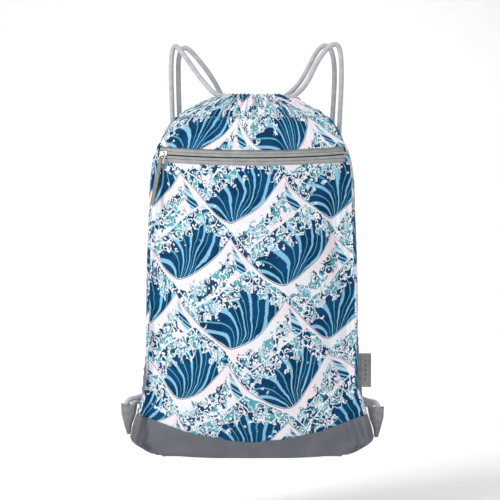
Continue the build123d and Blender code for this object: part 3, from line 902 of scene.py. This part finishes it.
def make_coil(name, side, material):
    """One row of teeth: a wire coiled along the back of its tape."""
    pitch = 1.6
    length = 2 * (ZIP_HALF_CHORD - 2)
    turn = np.linspace(0, 2 * math.pi * length / pitch, round(length / pitch) * 10)
    angle = np.linspace(-1, 1, len(turn)) * zip_angle(ZIP_HALF_CHORD - 2)
    line = on_zip(0.0, side * (2.15 + 1.15 * np.cos(turn)), -1.5 + 0.75 * np.sin(turn), angle)
    piece = tube(name, line, 0.00032, sides=5)
    return dress(piece, material, replaced=["zip_coil_" + name.split("_")[0]])


def make_zip(materials):
    """Both tapes, both rows of teeth and the stitched stop at each end."""
    for name, side in (("upper", 1), ("lower", -1)):
        make_tape(name + "_zip_tape", side, materials["tape"])
        make_coil(name + "_zip_coil", side, materials["coil"])
    for name, side in (("left", -1), ("right", 1)):
        x = side * (ZIP_HALF_CHORD - np.linspace(0.2, 1.5, 9))
        edges = [on_zip(0.0, up, 1.1, zip_angle(x)) for up in (3.9, -3.9)]
        piece = zigzag("zip_stop_stitching_" + name, *edges, radius=0.00026)
        dress(piece, materials["thread"], replaced=["zip_stop_" + name])


def make_pull_strap(materials):
    """The pull: a woven strap folded round the link's lower bar, with its two plies sewn together."""
    lift = math.radians(16)
    eye_up, eye_out = -1.5 - 11 * math.cos(lift), 3.4 + 11 * math.sin(lift)
    tilt = math.radians(3)
    bend = 1.55
    down = np.linspace(55.5, 1.5, 60)
    front_ply = np.stack([down, 0.5 + 0.08 * np.sin(down / 5)], axis=1)
    round_bar = [(bend * math.sin(a), bend * math.cos(a)) for a in np.linspace(0, math.pi, 16)]
    round_bar = np.array([(-x if x > 0 else x, y) for x, y in round_bar])
    back_ply = np.stack([down[::-1], -0.5 + 0.08 * np.sin(down[::-1] / 5)], axis=1)
    path = np.vstack([front_ply, round_bar, back_ply])
    path = evenly(np.column_stack([path, np.zeros(len(path))]), 0.7)

    def on_strap(across, down, out):
        """Places on the strap: across it, down it from the link's bar, and out of it."""
        up = eye_up - down * math.cos(tilt) + out * math.sin(tilt)
        raised = eye_out + down * math.sin(tilt) + out * math.cos(tilt)
        return on_zip(across, up, raised, SLIDER_ANGLE)

    line = on_strap(0.0, path[:, 0], path[:, 1])
    strap = ribbon("woven_pull_strap", line, zip_direction(1.0, 0.0, 0.0, SLIDER_ANGLE), 5.6, 0.95)
    dress(strap, materials["strap"], body="pull_strap", replaced=["zip_pull_strap"])
    down = np.linspace(4, 53, 50)
    for side_name, side in (("left", -1), ("right", 1)):
        row = on_strap(side * 1.9, down, 1.02)
        outward = np.broadcast_to(zip_direction(0.0, 0.0, 1.0, SLIDER_ANGLE), row.shape)
        name = "pull_strap_stitches_" + side_name
        piece = stitch_row(name, row, outward, pitch=0.0024, length=0.0018, radius=0.00018)
        dress(piece, materials["thread"], body="pull_strap")


# ---- the corner tabs and the label -------------------------------------------------------------------------
# A corner tab: height, inner and outer X, in millimetres.
TAB_EDGES = [(-463, 150.5, 169.8), (-476, 152.8, 169.2), (-490.5, 158.0, 165.5), (-502, 159.6, 162.0)]
TAB_TOP = -463
TAB_FOOT = -502
TAB_SEAM = 4  # Y of its middle
BARTACK_TOP = -480.1
BARTACK_HEIGHT = 1.9
BARTACK_TURNS = 16


def make_tab(name, side, shift, materials):
    """A webbing folded round the two cord ends: wide and open at its mouth, pinched flat at its foot."""
    levels, inner, outer = np.array(TAB_EDGES[::-1], float).T
    height = np.linspace(TAB_TOP, TAB_FOOT, 30)[:, None]
    left = np.interp(height, levels, inner)
    right = np.interp(height, levels, outer)
    depth = np.interp(height, [TAB_FOOT, -490, -476, TAB_TOP], [1.3, 3.2, 4.9, 5.1])
    turn = np.linspace(0, 2 * math.pi, 40, endpoint=False)[None, :]
    cosine, sine = np.cos(turn), np.sin(turn)
    square = 0.5  # how boxy the section is
    x = (left + right) / 2 + (right - left) / 2 * np.sign(cosine) * np.abs(cosine) ** square
    y = TAB_SEAM + depth * np.sign(sine) * np.abs(sine) ** square
    waist = 0.35 * np.exp(-(((height + 481) / 1.6) ** 2)) * np.sign(sine) * np.abs(sine)
    z = height + 0.7 * np.exp(-(((height - TAB_TOP) / 3) ** 2)) * np.cos(2 * turn)
    points = np.stack(np.broadcast_arrays(side * (x + shift[0]), y - waist, z + shift[1]), axis=-1) * MM
    if side < 0:
        points = points[:, ::-1]
    u, v = np.meshgrid(np.linspace(0, 0.055, 41), -lengths_along(points[:, 0]))
    piece = grid_object(name, points[::-1], np.stack([u, v], axis=-1)[::-1], wrap=True)
    thicken(piece, 0.0011)
    side_name = name.rsplit("_", 1)[1]
    dress(piece, materials["webbing"], replaced=["corner_tab_" + side_name])
    threads = []
    for face, y in (("front", TAB_SEAM - 4.75), ("rear", TAB_SEAM + 4.75)):
        across = np.linspace(157, 166, BARTACK_TURNS) + shift[0]
        level = np.full(BARTACK_TURNS, BARTACK_TOP + shift[1])
        edge = np.stack([side * across, np.full(BARTACK_TURNS, y), level], axis=1) * MM
        foot = edge - np.array([0, 0, BARTACK_HEIGHT]) * MM
        threads.append(zigzag("tab_bartack_" + face + "_" + side_name, edge, foot))
    dress(threads[0], materials["thread"], replaced=["tab_bartacks_" + side_name])
    dress(threads[1], materials["thread"])


def make_label(materials):
    """A plain folded label that stands out of the right rear seam: two plies that meet in a fold."""
    root, reach, top, height, seam = 139.6, 16.2, -397, 44, 6
    bend = np.linspace(-math.pi / 2, math.pi / 2, 9)
    front = np.stack([np.linspace(0, reach - 0.6, 16), np.full(16, -0.42)], axis=1)
    fold = np.stack([reach - 0.6 + 0.5 * np.cos(bend), 0.42 * np.sin(bend)], axis=1)
    back = np.stack([np.linspace(reach - 0.6, 0, 16), np.full(16, 0.42)], axis=1)
    section = np.vstack([front, fold[1:-1], back])
    rows = np.linspace(top, top - height, 60)[:, None]
    curl = 0.9 * np.sin((rows - top) / height * 5.0)

    def place(x, y):
        sway = (x[None, :] / reach) ** 2 * (curl - 0.8)
        return np.stack(np.broadcast_arrays(root + x[None, :], seam + y[None, :] + sway, rows), axis=-1) * MM

    piece = swept("folded_side_label", section, place)
    dress(piece, materials["label"], body="label", replaced=["side_label"])


# ---- inside the bag ----------------------------------------------------------------------------------------
def make_lining(material):
    """The pocket's lining: a sheet behind the front panel, from the zip down to the base seam."""
    share = np.linspace(-1, 1, 70)[None, :]
    height = np.linspace(-133, -490, 110)[:, None]
    height = np.broadcast_to(height, (110, 70))
    half, front, _, _, _ = np.moveaxis(section_values(height), -1, 0)
    half = half - SEAM_INSET - 0.8
    x, y = arc_across(half, 4, front - 30, np.broadcast_to(share, height.shape))
    ripple = 0.8 * np.sin(x / 9 + height / 31) * np.cos(height / 23) * (1 - share**4)
    points = np.stack([x, -y + ripple, height], axis=-1) * MM
    u, v = np.meshgrid(share[0] * 0.135, height[:, 0] * MM)
    piece = grid_object("pocket_lining_cloth", points, np.stack([u, v], axis=-1))
    thicken(piece, 0.0006, offset=0)
    dress(piece, material, replaced=["pocket_lining"])


def make_bindings(grid, material):
    """Woven tapes over the cut edges inside the bag: down its four seams, and along the base seam."""
    inward = -grid_normals(grid)
    seams = [
        ("front_left", column_range("left")[-1], -165),
        ("front_right", column_range("right")[0], -165),
        ("rear_left", column_range("left")[0], -90),
        ("rear_right", column_range("right")[-1], -90),
    ]
    for name, column, top in seams:
        height = grid[:, column, 2] / MM
        rows = np.flatnonzero((height < top) & (height > -470))
        across = inward[rows, column]
        tape = ribbon("seam_tape_" + name, grid[rows, column] + across * 6.2 * MM, across, 7, 1.2)
        dress(tape, material, replaced=["seam_binding_" + name])
    for name, panel in (("front", "front"), ("rear", "back")):
        columns = column_range(panel)
        columns = columns[np.abs(grid[ROW_BASE, columns, 0]) < 120 * MM]
        line = grid[ROW_BASE, columns] + inward[ROW_BASE, columns] * 2.6 * MM
        tape = ribbon("base_seam_tape_" + name, evenly(line, 0.004), (0, 0, 1), 7, 1.2)
        dress(tape, material, replaced=["base_binding_" + name])


def make_stitching(grid, material):
    """Rows of single stitches: at the foot of both casings and along both outer edges of the zip tapes."""
    angle = np.linspace(-ZIP_END, ZIP_END, 200) * 0.985
    for name, up in (("upper", 10.3), ("lower", -10.3)):
        line = on_zip(0.0, up, 0.45, angle)
        outward = on_zip(0.0, up, 1.45, angle) - line
        dress(stitch_row("zip_edge_stitches_" + name, line, outward), material)
    normals = grid_normals(grid)
    for panel in ("front", "back"):
        columns = column_range(panel)[2:-2]
        line = grid[1, columns] + normals[1, columns] * 0.3 * MM
        row = stitch_row("casing_stitches_" + panel, line, normals[1, columns])
        dress(row, material)


def finish_node(node, material, rounding):
    """A CAD node that stays: round edges, and its material."""
    node.data.materials.clear()
    node.data.materials.append(material)
    bevel = node.modifiers.new("round edges", "BEVEL")
    bevel.width = rounding
    bevel.segments = 3
    bevel.limit_method = "ANGLE"
    bevel.angle_limit = math.radians(35)
    bevel.harden_normals = False


# ---- procedural materials ----------------------------------------------------------------------------------
def colour(web):
    """A linear colour from a web colour."""
    channels = [int(web[place : place + 2], 16) / 255 for place in (0, 2, 4)]
    return (*[c / 12.92 if c <= 0.04045 else ((c + 0.055) / 1.055) ** 2.4 for c in channels], 1.0)


def arithmetic(operation, swapped=False):
    """A method that joins two values by one operation. swapped puts the other value first."""

    def method(self, other):
        pair = (other, self) if swapped else (self, other)
        return self.shade.math(operation, *pair)

    return method


class Value:
    """A number, colour or place in a node tree, so that a pattern can be written as arithmetic."""

    def __init__(self, shade, socket):
        self.shade = shade
        self.socket = socket

    __add__ = arithmetic("ADD")
    __radd__ = arithmetic("ADD", swapped=True)
    __sub__ = arithmetic("SUBTRACT")
    __rsub__ = arithmetic("SUBTRACT", swapped=True)
    __mul__ = arithmetic("MULTIPLY")
    __rmul__ = arithmetic("MULTIPLY", swapped=True)
    __truediv__ = arithmetic("DIVIDE")
    __pow__ = arithmetic("POWER")


class Shade:
    """One procedural material under construction. u and v are the place on the cloth, in metres."""

    def __init__(self, name):
        self.material = bpy.data.materials.new(name)
        self.material.use_nodes = True
        self.tree = self.material.node_tree
        self.shader = self.tree.nodes["Principled BSDF"]
        self.place = Value(self, self.node("TexCoord").outputs["Object"])
        split = self.node("SeparateXYZ")
        self.tree.links.new(self.node("UVMap", uv_map=CLOTH_MAP).outputs[0], split.inputs[0])
        self.u = Value(self, split.outputs[0])
        self.v = Value(self, split.outputs[1])

    def node(self, kind, **settings):
        node = self.tree.nodes.new("ShaderNode" + kind)
        for key, value in settings.items():
            setattr(node, key, value)
        return node

    def feed(self, socket, value):
        if isinstance(value, Value):
            self.tree.links.new(value.socket, socket)
        else:
            socket.default_value = value

    def math(self, operation, *values):
        node = self.node("Math", operation=operation)
        for socket, value in zip(node.inputs, values):
            self.feed(socket, value)
        return Value(self, node.outputs[0])

    def fract(self, value):
        return self.math("FRACT", value)

    def size(self, value):
        return self.math("ABSOLUTE", value)

    def wave(self, value):
        return self.math("SINE", value * (2 * math.pi))

    def step(self, low, high, value):
        """0 at low, 1 at high and smooth between them. It falls where low is the larger."""
        node = self.node("MapRange", interpolation_type="SMOOTHSTEP")
        if low > high:
            low, high = high, low
            node.inputs["To Min"].default_value = 1
            node.inputs["To Max"].default_value = 0
        self.feed(node.inputs["Value"], value)
        self.feed(node.inputs["From Min"], low)
        self.feed(node.inputs["From Max"], high)
        return Value(self, node.outputs["Result"])

    def point(self, x, y, z=0.0):
        node = self.node("CombineXYZ")
        for socket, value in zip(node.inputs, (x, y, z)):
            self.feed(socket, value)
        return Value(self, node.outputs[0])

    def noise(self, where, scale, detail=2.0, roughness=0.5):
        node = self.node("TexNoise")
        self.feed(node.inputs["Vector"], where)
        node.inputs["Scale"].default_value = scale
        node.inputs["Detail"].default_value = detail
        node.inputs["Roughness"].default_value = roughness
        return Value(self, node.outputs["Fac"])

    def cells(self, where, scale):
        """Distance from the nearest of scattered spots, and a random number for each of them."""
        node = self.node("TexVoronoi")
        self.feed(node.inputs["Vector"], where)
        node.inputs["Scale"].default_value = scale
        split = self.node("SeparateColor")
        self.tree.links.new(node.outputs["Color"], split.inputs[0])
        return Value(self, node.outputs["Distance"]), Value(self, split.outputs[0])

    def mix(self, share, first, second):
        node = self.node("Mix", data_type="RGBA")
        self.feed(node.inputs[0], share)
        self.feed(node.inputs[6], first)
        self.feed(node.inputs[7], second)
        return Value(self, node.outputs[2])

    def tones(self, slow, light, dark):
        """Two tones that change over slowly."""
        return self.mix(self.step(0.3, 0.7, slow), colour(light), colour(dark))

    def finish(self, paint, roughness, height, depth, sheen=0.0, metallic=0.0):
        """Joins the colour, roughness and relief to the shader. depth is the relief's height in metres."""
        self.feed(self.shader.inputs["Base Color"], paint)
        self.feed(self.shader.inputs["Roughness"], roughness)
        self.shader.inputs["Metallic"].default_value = metallic
        self.shader.inputs["Sheen Weight"].default_value = sheen
        self.shader.inputs["Specular IOR Level"].default_value = 0.5 if metallic else 0.10
        bump = self.node("Bump")
        bump.inputs["Strength"].default_value = 1
        bump.inputs["Distance"].default_value = depth
        self.feed(bump.inputs["Height"], height)
        self.tree.links.new(bump.outputs[0], self.shader.inputs["Normal"])
        return self.material


NAVY = colour("00406c")
DEEP = colour("003057")
BLUE = colour("7fbcd8")
TEAL = colour("52a5b2")
PALE = colour("aad2df")
WHITE = colour("e4e7ee")
PINK = colour("e9dde4")
# the print's dark ink; print_material also mixes it in as painted shade between the cloth's threads
INK_AND_THREAD_SHADE = colour("1d3c50")
TILE = (0.138, 0.160)  # metres: one repeat of the print


def crest(s, x, y, shift, height, sharp, wobble):
    """How far a point lies below its crest in one family of waves, in repeats, and its place along it."""
    side = s.fract(x + shift[0] + wobble) - 0.5
    rise = height * ((1.0 - s.size(side) * 2.0) ** sharp)
    return s.fract(rise - y + shift[1]), side


def hill_paint(s, flat, depth, side, slow, curl, foam):
    """A white hill with a striped right flank, a foamy left one and a thin dark line along its crest."""
    paper = s.mix(s.step(0.38, 0.62, s.noise(flat, 2.4)), WHITE, PINK)
    band = s.fract(depth * 9.0 + side * 5.0 + slow * 1.0)
    slope = s.mix(s.step(0.10, 0.14, band), TEAL, PALE)
    slope = s.mix(s.step(0.36, 0.42, band) * s.step(0.94, 0.90, band), slope, NAVY)
    slope = s.mix(s.step(0.62, 0.66, band) * s.step(0.76, 0.72, band), slope, BLUE)
    reach = depth - s.size(side) * 0.45
    flank = s.step(0.01, 0.04, side) * s.step(0.02, 0.035, reach) * s.step(0.19, 0.16, reach + curl * 0.1)
    paint = s.mix(flank, paper, slope)
    left = s.step(0.10, 0.12, depth + curl * 0.30) * s.step(0.03, 0.01, side + curl * 0.4)
    left = left * s.step(0.30, 0.28, depth + curl * 0.5)
    paint = s.mix(left, paint, foam)
    line = s.step(0.003, 0.006, depth) * s.step(0.014, 0.011, depth)
    return s.mix(line * 0.8, paint, INK_AND_THREAD_SHADE)


def breaker_paint(s, flat, depth, side, slow, curl, foam):
    """A dark wave with light stripes that fan out and curve up it, under a ragged cap of foam."""
    low = 0.62 - depth
    turn = s.math("ARCTAN2", side + 0.16, low + 0.04)
    reach = ((side + 0.16) ** 2.0 + (low + 0.04) ** 2.0) ** 0.5
    strand = s.fract(turn * 3.4 + reach * 3.2 + slow * 0.9)
    stripe = s.step(0.56, 0.60, strand) * s.step(0.80, 0.74, strand)
    thin = s.step(0.10, 0.13, strand) * s.step(0.20, 0.17, strand)
    body = s.mix(s.step(0.40, 0.60, s.noise(flat, 5.0)), NAVY, DEEP)
    body = s.mix(stripe, body, BLUE)
    body = s.mix(thin, body, TEAL)
    ragged = depth + curl * 0.65
    paint = s.mix(s.step(0.150, 0.130, ragged), body, foam)
    rim = s.step(0.172, 0.158, ragged) * s.step(0.130, 0.145, ragged)
    paint = s.mix(rim, paint, WHITE)
    return s.mix(s.step(0.016, 0.008, depth), paint, WHITE)


def foam_paint(s, flat):
    """Foam: curling white lines with dark edges, and drops, over patches of teal, blue and navy."""
    bent = s.noise(flat, 10.0, 2.0, 0.5)
    line = s.size(s.fract(bent * 6.5) - 0.5)
    patch = s.noise(flat, 8.0, 1.0)
    spot, chance = s.cells(flat, 24.0)
    ground = s.mix(s.step(0.49, 0.52, patch), TEAL, NAVY)
    ground = s.mix(s.step(0.66, 0.68, chance), ground, PALE)
    ground = s.mix(s.step(0.86, 0.88, chance), ground, INK_AND_THREAD_SHADE)
    curls = s.mix(s.step(0.25, 0.20, line), ground, INK_AND_THREAD_SHADE)
    curls = s.mix(s.step(0.19, 0.14, line), curls, WHITE)
    drops = s.mix(s.step(0.30, 0.25, spot), curls, INK_AND_THREAD_SHADE)
    return s.mix(s.step(0.24, 0.19, spot), drops, WHITE)


def wave_print(s):
    """A generic print of waves: hills and breakers in rows, each row half a repeat along from the next."""
    x = s.u / TILE[0]
    y = s.v / TILE[1]
    flat = s.point(x, y)
    slow = s.noise(flat, 1.7, 1.0) - 0.5
    curl = s.noise(flat, 13.0, 2.0, 0.55) - 0.5
    foam = foam_paint(s, flat)
    nearest = None
    for along, up in ((0.0, 0.0), (0.5, 0.5)):
        hill = crest(s, x, y, (0.05 + along, up), 0.38, 1.5, slow * 0.25)
        breaker = crest(s, x, y, (0.36 + along, 0.28 + up), 0.36, 0.8, slow * 0.35 + curl * 0.03)
        for (depth, side), paint_of in ((hill, hill_paint), (breaker, breaker_paint)):
            paint = paint_of(s, flat, depth, side, slow, curl, foam)
            if nearest is None:
                nearest, result = depth, paint
            else:
                result = s.mix(s.math("LESS_THAN", depth, nearest), result, paint)
                nearest = s.math("MINIMUM", nearest, depth)
    return result


def weave_height(s, pitch):
    """A plain weave: threads that go over and under each other."""
    across = s.wave(s.u / pitch)
    along = s.wave(s.v / pitch)
    return (across * along) * 0.5 + 0.5


def print_material():
    """The printed cloth: a plain weave under the waves, with painted shade between its threads, a little
    rubbed.
    """
    s = Shade("wave_print_cloth")
    paint = wave_print(s)
    weave = weave_height(s, 0.0007)
    worn = s.noise(s.place, 260.0, 3.0)
    # painted shade: the dark ink colour in the hollows between the threads
    paint = s.mix((1.0 - weave) * 0.10, paint, INK_AND_THREAD_SHADE)
    roughness = 0.62 + worn * 0.2
    return s.finish(paint, roughness, weave * 0.6 + worn * 0.8, 0.00018, sheen=0.02)


def plain_cloth(name, light, dark, pitch, relief, roughness=0.7):
    """Plain woven cloth: two tones that vary slowly, with the threads as relief and painted shade between
    them.
    """
    s = Shade(name)
    weave = weave_height(s, pitch)
    slow = s.noise(s.place, 40.0, 3.0)
    fleck = s.noise(s.point(s.u * 3.0, s.v), 900.0, 2.0)
    paint = s.mix(s.step(0.30, 0.70, slow) * 0.6 + fleck * 0.4, colour(light), colour(dark))
    # painted shade: darker grey in the hollows between the threads
    paint = s.mix((1.0 - weave) * 0.25, paint, colour("3a3d42"))
    return s.finish(paint, roughness + fleck * 0.15, weave + fleck * 0.4, relief, sheen=0.1)


def cord_material():
    """Braided polyester: two sets of yarns that cross, lighter on top and shaded between."""
    s = Shade("cord_braid")
    around = s.u / (math.pi * CORD_DIAMETER)
    right = s.wave(around * 12.0 + s.v / 0.0016)
    left = s.wave(around * 12.0 - s.v / 0.0016)
    yarn = s.math("MAXIMUM", right, left) * 0.5 + 0.5
    slow = s.noise(s.place, 120.0)
    paint = s.tones(slow, "c3c4c8", "b2b3b8")
    paint = s.mix((1.0 - yarn) * 0.5, paint, colour("83868c"))
    return s.finish(paint, 0.6 + slow * 0.2, yarn, 0.00025, sheen=0.2)


def tape_material():
    """Zip tape: a fine herringbone in warm grey, with painted shade between its ribs, in the groove beside
    the teeth and along its inner edge where the tapes meet.
    """
    s = Shade("zip_tape_weave")
    lane = s.fract(s.u / 0.0012) - 0.5
    rib = s.wave(s.v / 0.0007 + s.size(lane) * 1.6) * 0.5 + 0.5
    slow = s.noise(s.place, 90.0, 3.0)
    paint = s.tones(slow, "aeaeac", "9d9f9e")
    # painted shade in the hollows between the ribs
    paint = s.mix((1.0 - rib) * 0.3, paint, colour("77797b"))
    across = s.size(s.u)
    # painted shade in the groove, where the tape's section dips beside the teeth
    groove = s.step(0.0038, 0.0043, across) * s.step(0.0053, 0.0048, across)
    paint = s.mix(groove * 0.75, paint, colour("6b6d70"))
    # painted shade along the inner edge, in the gap where the two tapes meet
    paint = s.mix(s.step(0.0013, 0.0007, across) * 0.8, paint, colour("55575a"))
    return s.finish(paint, 0.65 + slow * 0.15, rib + slow * 0.5, 0.00015, sheen=0.08)


def coil_material():
    """Nylon teeth: smooth grey plastic with faint rubbed spots."""
    s = Shade("zip_coil_nylon")
    rub = s.noise(s.place, 700.0, 3.0)
    paint = s.mix(s.step(0.4, 0.7, rub), colour("8e9193"), colour("74777a"))
    return s.finish(paint, 0.28 + rub * 0.2, rub, 0.00005)


def metal_material():
    """Bright zinc: brushed one way, with darker patches and scratches."""
    s = Shade("zip_zinc")
    split = s.node("SeparateXYZ")
    s.feed(split.inputs[0], s.place)
    x, y, z = (Value(s, socket) for socket in split.outputs)
    brushed = s.noise(s.point(x * 0.3, y, z * 4.0), 2600.0, 3.0)
    tarnish = s.noise(s.place, 350.0, 3.0)
    paint = s.mix(s.step(0.45, 0.75, tarnish), colour("dcdad6"), colour("a9a6a1"))
    paint = s.mix(brushed * 0.35, paint, colour("8f8d8a"))
    return s.finish(paint, 0.24 + tarnish * 0.22, brushed, 0.00003, metallic=0.85)


def strap_material():
    """The pull's strap: a coarse warm grey weave with painted shade between its ribs, and darker edges that
    are partly the strap's own dark edge and partly painted shade.
    """
    s = Shade("pull_strap_weave")
    rib = s.wave(s.v / 0.0011 + s.u / 0.0022) * 0.5 + 0.5
    # mask of the darker edges: partly the strap's own dark edge, partly painted shade where its rounded edges
    # turn away
    edge = s.step(0.0019, 0.0027, s.size(s.u))
    slow = s.noise(s.place, 200.0, 3.0)
    paint = s.tones(slow, "9c9892", "87837e")
    # painted shade in the hollows between the ribs
    paint = s.mix((1.0 - rib) * 0.35, paint, colour("5c5956"))
    # darker edges: partly the strap's own colour, partly painted shade
    paint = s.mix(edge * 0.6, paint, colour("4c4b4b"))
    return s.finish(paint, 0.7 + slow * 0.15, rib, 0.0003, sheen=0.1)


def label_material():
    """A satin label: fine ribs across it with painted shade between them, a woven border and a row of plain
    lozenges, with no lettering.
    """
    s = Shade("label_satin")
    rib = s.wave(s.v / 0.0006) * 0.5 + 0.5
    slow = s.noise(s.place, 150.0)
    paint = s.tones(slow, "a8a2a3", "999495")
    border = s.step(0.0128, 0.0132, s.u) * s.step(0.0144, 0.0140, s.u)
    border = s.math("MAXIMUM", border, s.step(0.0018, 0.0022, s.u) * s.step(0.0034, 0.0030, s.u))
    paint = s.mix(border * 0.5, paint, colour("6f6a6c"))
    bead = s.fract(s.v / 0.0062) - 0.5
    mark = s.step(0.0016, 0.0013, s.size(s.u - 0.0088) + s.size(bead) * 0.0042)
    inside = s.step(0.0062, 0.0064, s.v) * s.step(0.0374, 0.0370, s.v)
    paint = s.mix(mark * inside * 0.75, paint, colour("5d595c"))
    # painted shade in the hollows between the ribs
    paint = s.mix((1.0 - rib) * 0.2, paint, colour("5f5f63"))
    return s.finish(paint, 0.42 + slow * 0.15, rib, 0.0001, sheen=0.15)


def webbing_material():
    """Webbing: slanted ribs with painted shade between them, and a soft fleck."""
    s = Shade("tab_webbing")
    rib = s.wave(s.u / 0.0017 + s.v / 0.0024) * 0.5 + 0.5
    pick = s.wave(s.v / 0.0008) * 0.5 + 0.5
    slow = s.noise(s.place, 160.0, 3.0)
    paint = s.tones(slow, "9d9da1", "88898d")
    # painted shade in the hollows between the ribs
    paint = s.mix((1.0 - rib) * 0.4, paint, colour("55565b"))
    return s.finish(paint, 0.68 + slow * 0.15, rib + pick * 0.3, 0.0004, sheen=0.1)


def thread_material():
    """Sewing thread: twisted plies that shine a little."""
    s = Shade("sewing_thread")
    twist = s.noise(s.place, 3000.0, 2.0)
    paint = s.mix(twist, colour("c4c6ca"), colour("8f9298"))
    return s.finish(paint, 0.5 + twist * 0.2, twist, 0.0001, sheen=0.1)


# ---- camera, lights and backdrop ---------------------------------------------------------------------------
def make_camera():
    """Straight from the front, level with the bag's middle."""
    camera = bpy.data.cameras.new("camera")
    camera.lens = 100
    camera.sensor_width = 36
    holder = bpy.data.objects.new("camera", camera)
    holder.location = (-0.0026, -1.81, -0.262)
    holder.rotation_euler = (math.radians(90), 0, 0)
    bpy.context.scene.collection.objects.link(holder)
    bpy.context.scene.camera = holder


def make_light(name, place, target, size, power):
    """A soft square light that looks at a point."""
    light = bpy.data.lights.new(name, "AREA")
    light.size = size
    light.energy = power
    holder = bpy.data.objects.new(name, light)
    holder.location = place
    direction = Vector(target) - Vector(place)
    holder.rotation_euler = direction.to_track_quat("-Z", "Y").to_euler()
    bpy.context.scene.collection.objects.link(holder)


def make_stage():
    """A pale floor that curves up behind the bag, soft lights and a bright even surround."""
    level, start, radius = -0.62, 1.4, 1.2
    turn = np.linspace(0.1, 1.57, 12)
    profile = [(-4.0, level), (start, level)]
    profile += [(start + radius * math.sin(a), level + radius * (1 - math.cos(a))) for a in turn]
    profile += [(2.6, 4.0)]
    across = np.linspace(-5, 5, 3)
    points = np.array([[(x, y, z) for x in across] for y, z in profile])
    floor = grid_object("studio_floor", points, points[..., :2])
    s = Shade("studio_floor")
    grain = s.noise(s.place, 12.0)
    paint = s.mix(grain, colour("fbfbfb"), colour("f6f6f6"))
    floor.data.materials.append(s.finish(paint, 0.9, grain, 0.0001))
    world = bpy.data.worlds.new("world")
    world.use_nodes = True
    world.node_tree.nodes["Background"].inputs["Color"].default_value = (1, 1, 1, 1)
    world.node_tree.nodes["Background"].inputs["Strength"].default_value = 0.55
    bpy.context.scene.world = world
    middle = (0, 0, -0.27)
    make_light("key", (-1.9, -1.7, 1.5), middle, 0.9, 70)
    make_light("fill", (1.8, -2.0, 0.2), middle, 1.8, 12)
    make_light("back", (0.3, 2.0, 1.4), middle, 1.5, 16)


# ---- the whole part ----------------------------------------------------------------------------------------
def make_materials():
    """Every material, by the name that the pieces ask for."""
    return {
        "print": print_material(),
        "base": plain_cloth("base_weave", "73757d", "64666e", 0.0009, 0.00025, roughness=0.6),
        "lining": plain_cloth("lining_taffeta", "9a9da3", "85888e", 0.0005, 0.0001, roughness=0.5),
        "binding": plain_cloth("binding_tape", "808289", "6c6e75", 0.0007, 0.0002),
        "cord": cord_material(),
        "tape": tape_material(),
        "coil": coil_material(),
        "metal": metal_material(),
        "strap": strap_material(),
        "label": label_material(),
        "webbing": webbing_material(),
        "thread": thread_material(),
    }


def main():
    """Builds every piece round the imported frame."""
    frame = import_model()
    bpy.context.scene.view_settings.view_transform = "Standard"
    make_camera()
    make_stage()
    materials = make_materials()
    make_cords(materials["cord"])
    grid = corner_pleats(seam_grooves(settle(gathered_grid(bag_grid()))))
    make_panels(grid, materials)
    make_casing(grid, "casing_front_cloth", "front", -1, 3, (0.02, 0.30), materials["print"])
    make_casing(grid, "casing_back_cloth", "back", 1, 5, (0.13, 0.05), materials["print"])
    make_zip(materials)
    make_pull_strap(materials)
    make_tab("webbing_tab_left", -1, (0, 0), materials)
    make_tab("webbing_tab_right", 1, (1.4, -4), materials)
    make_label(materials)
    make_lining(materials["lining"])
    make_bindings(grid, materials["binding"])
    make_stitching(grid, materials["thread"])
    for name in ("zip_slider", "zip_pull_link"):
        finish_node(frame["nodes"][name], materials["metal"], 0.00025)


main()
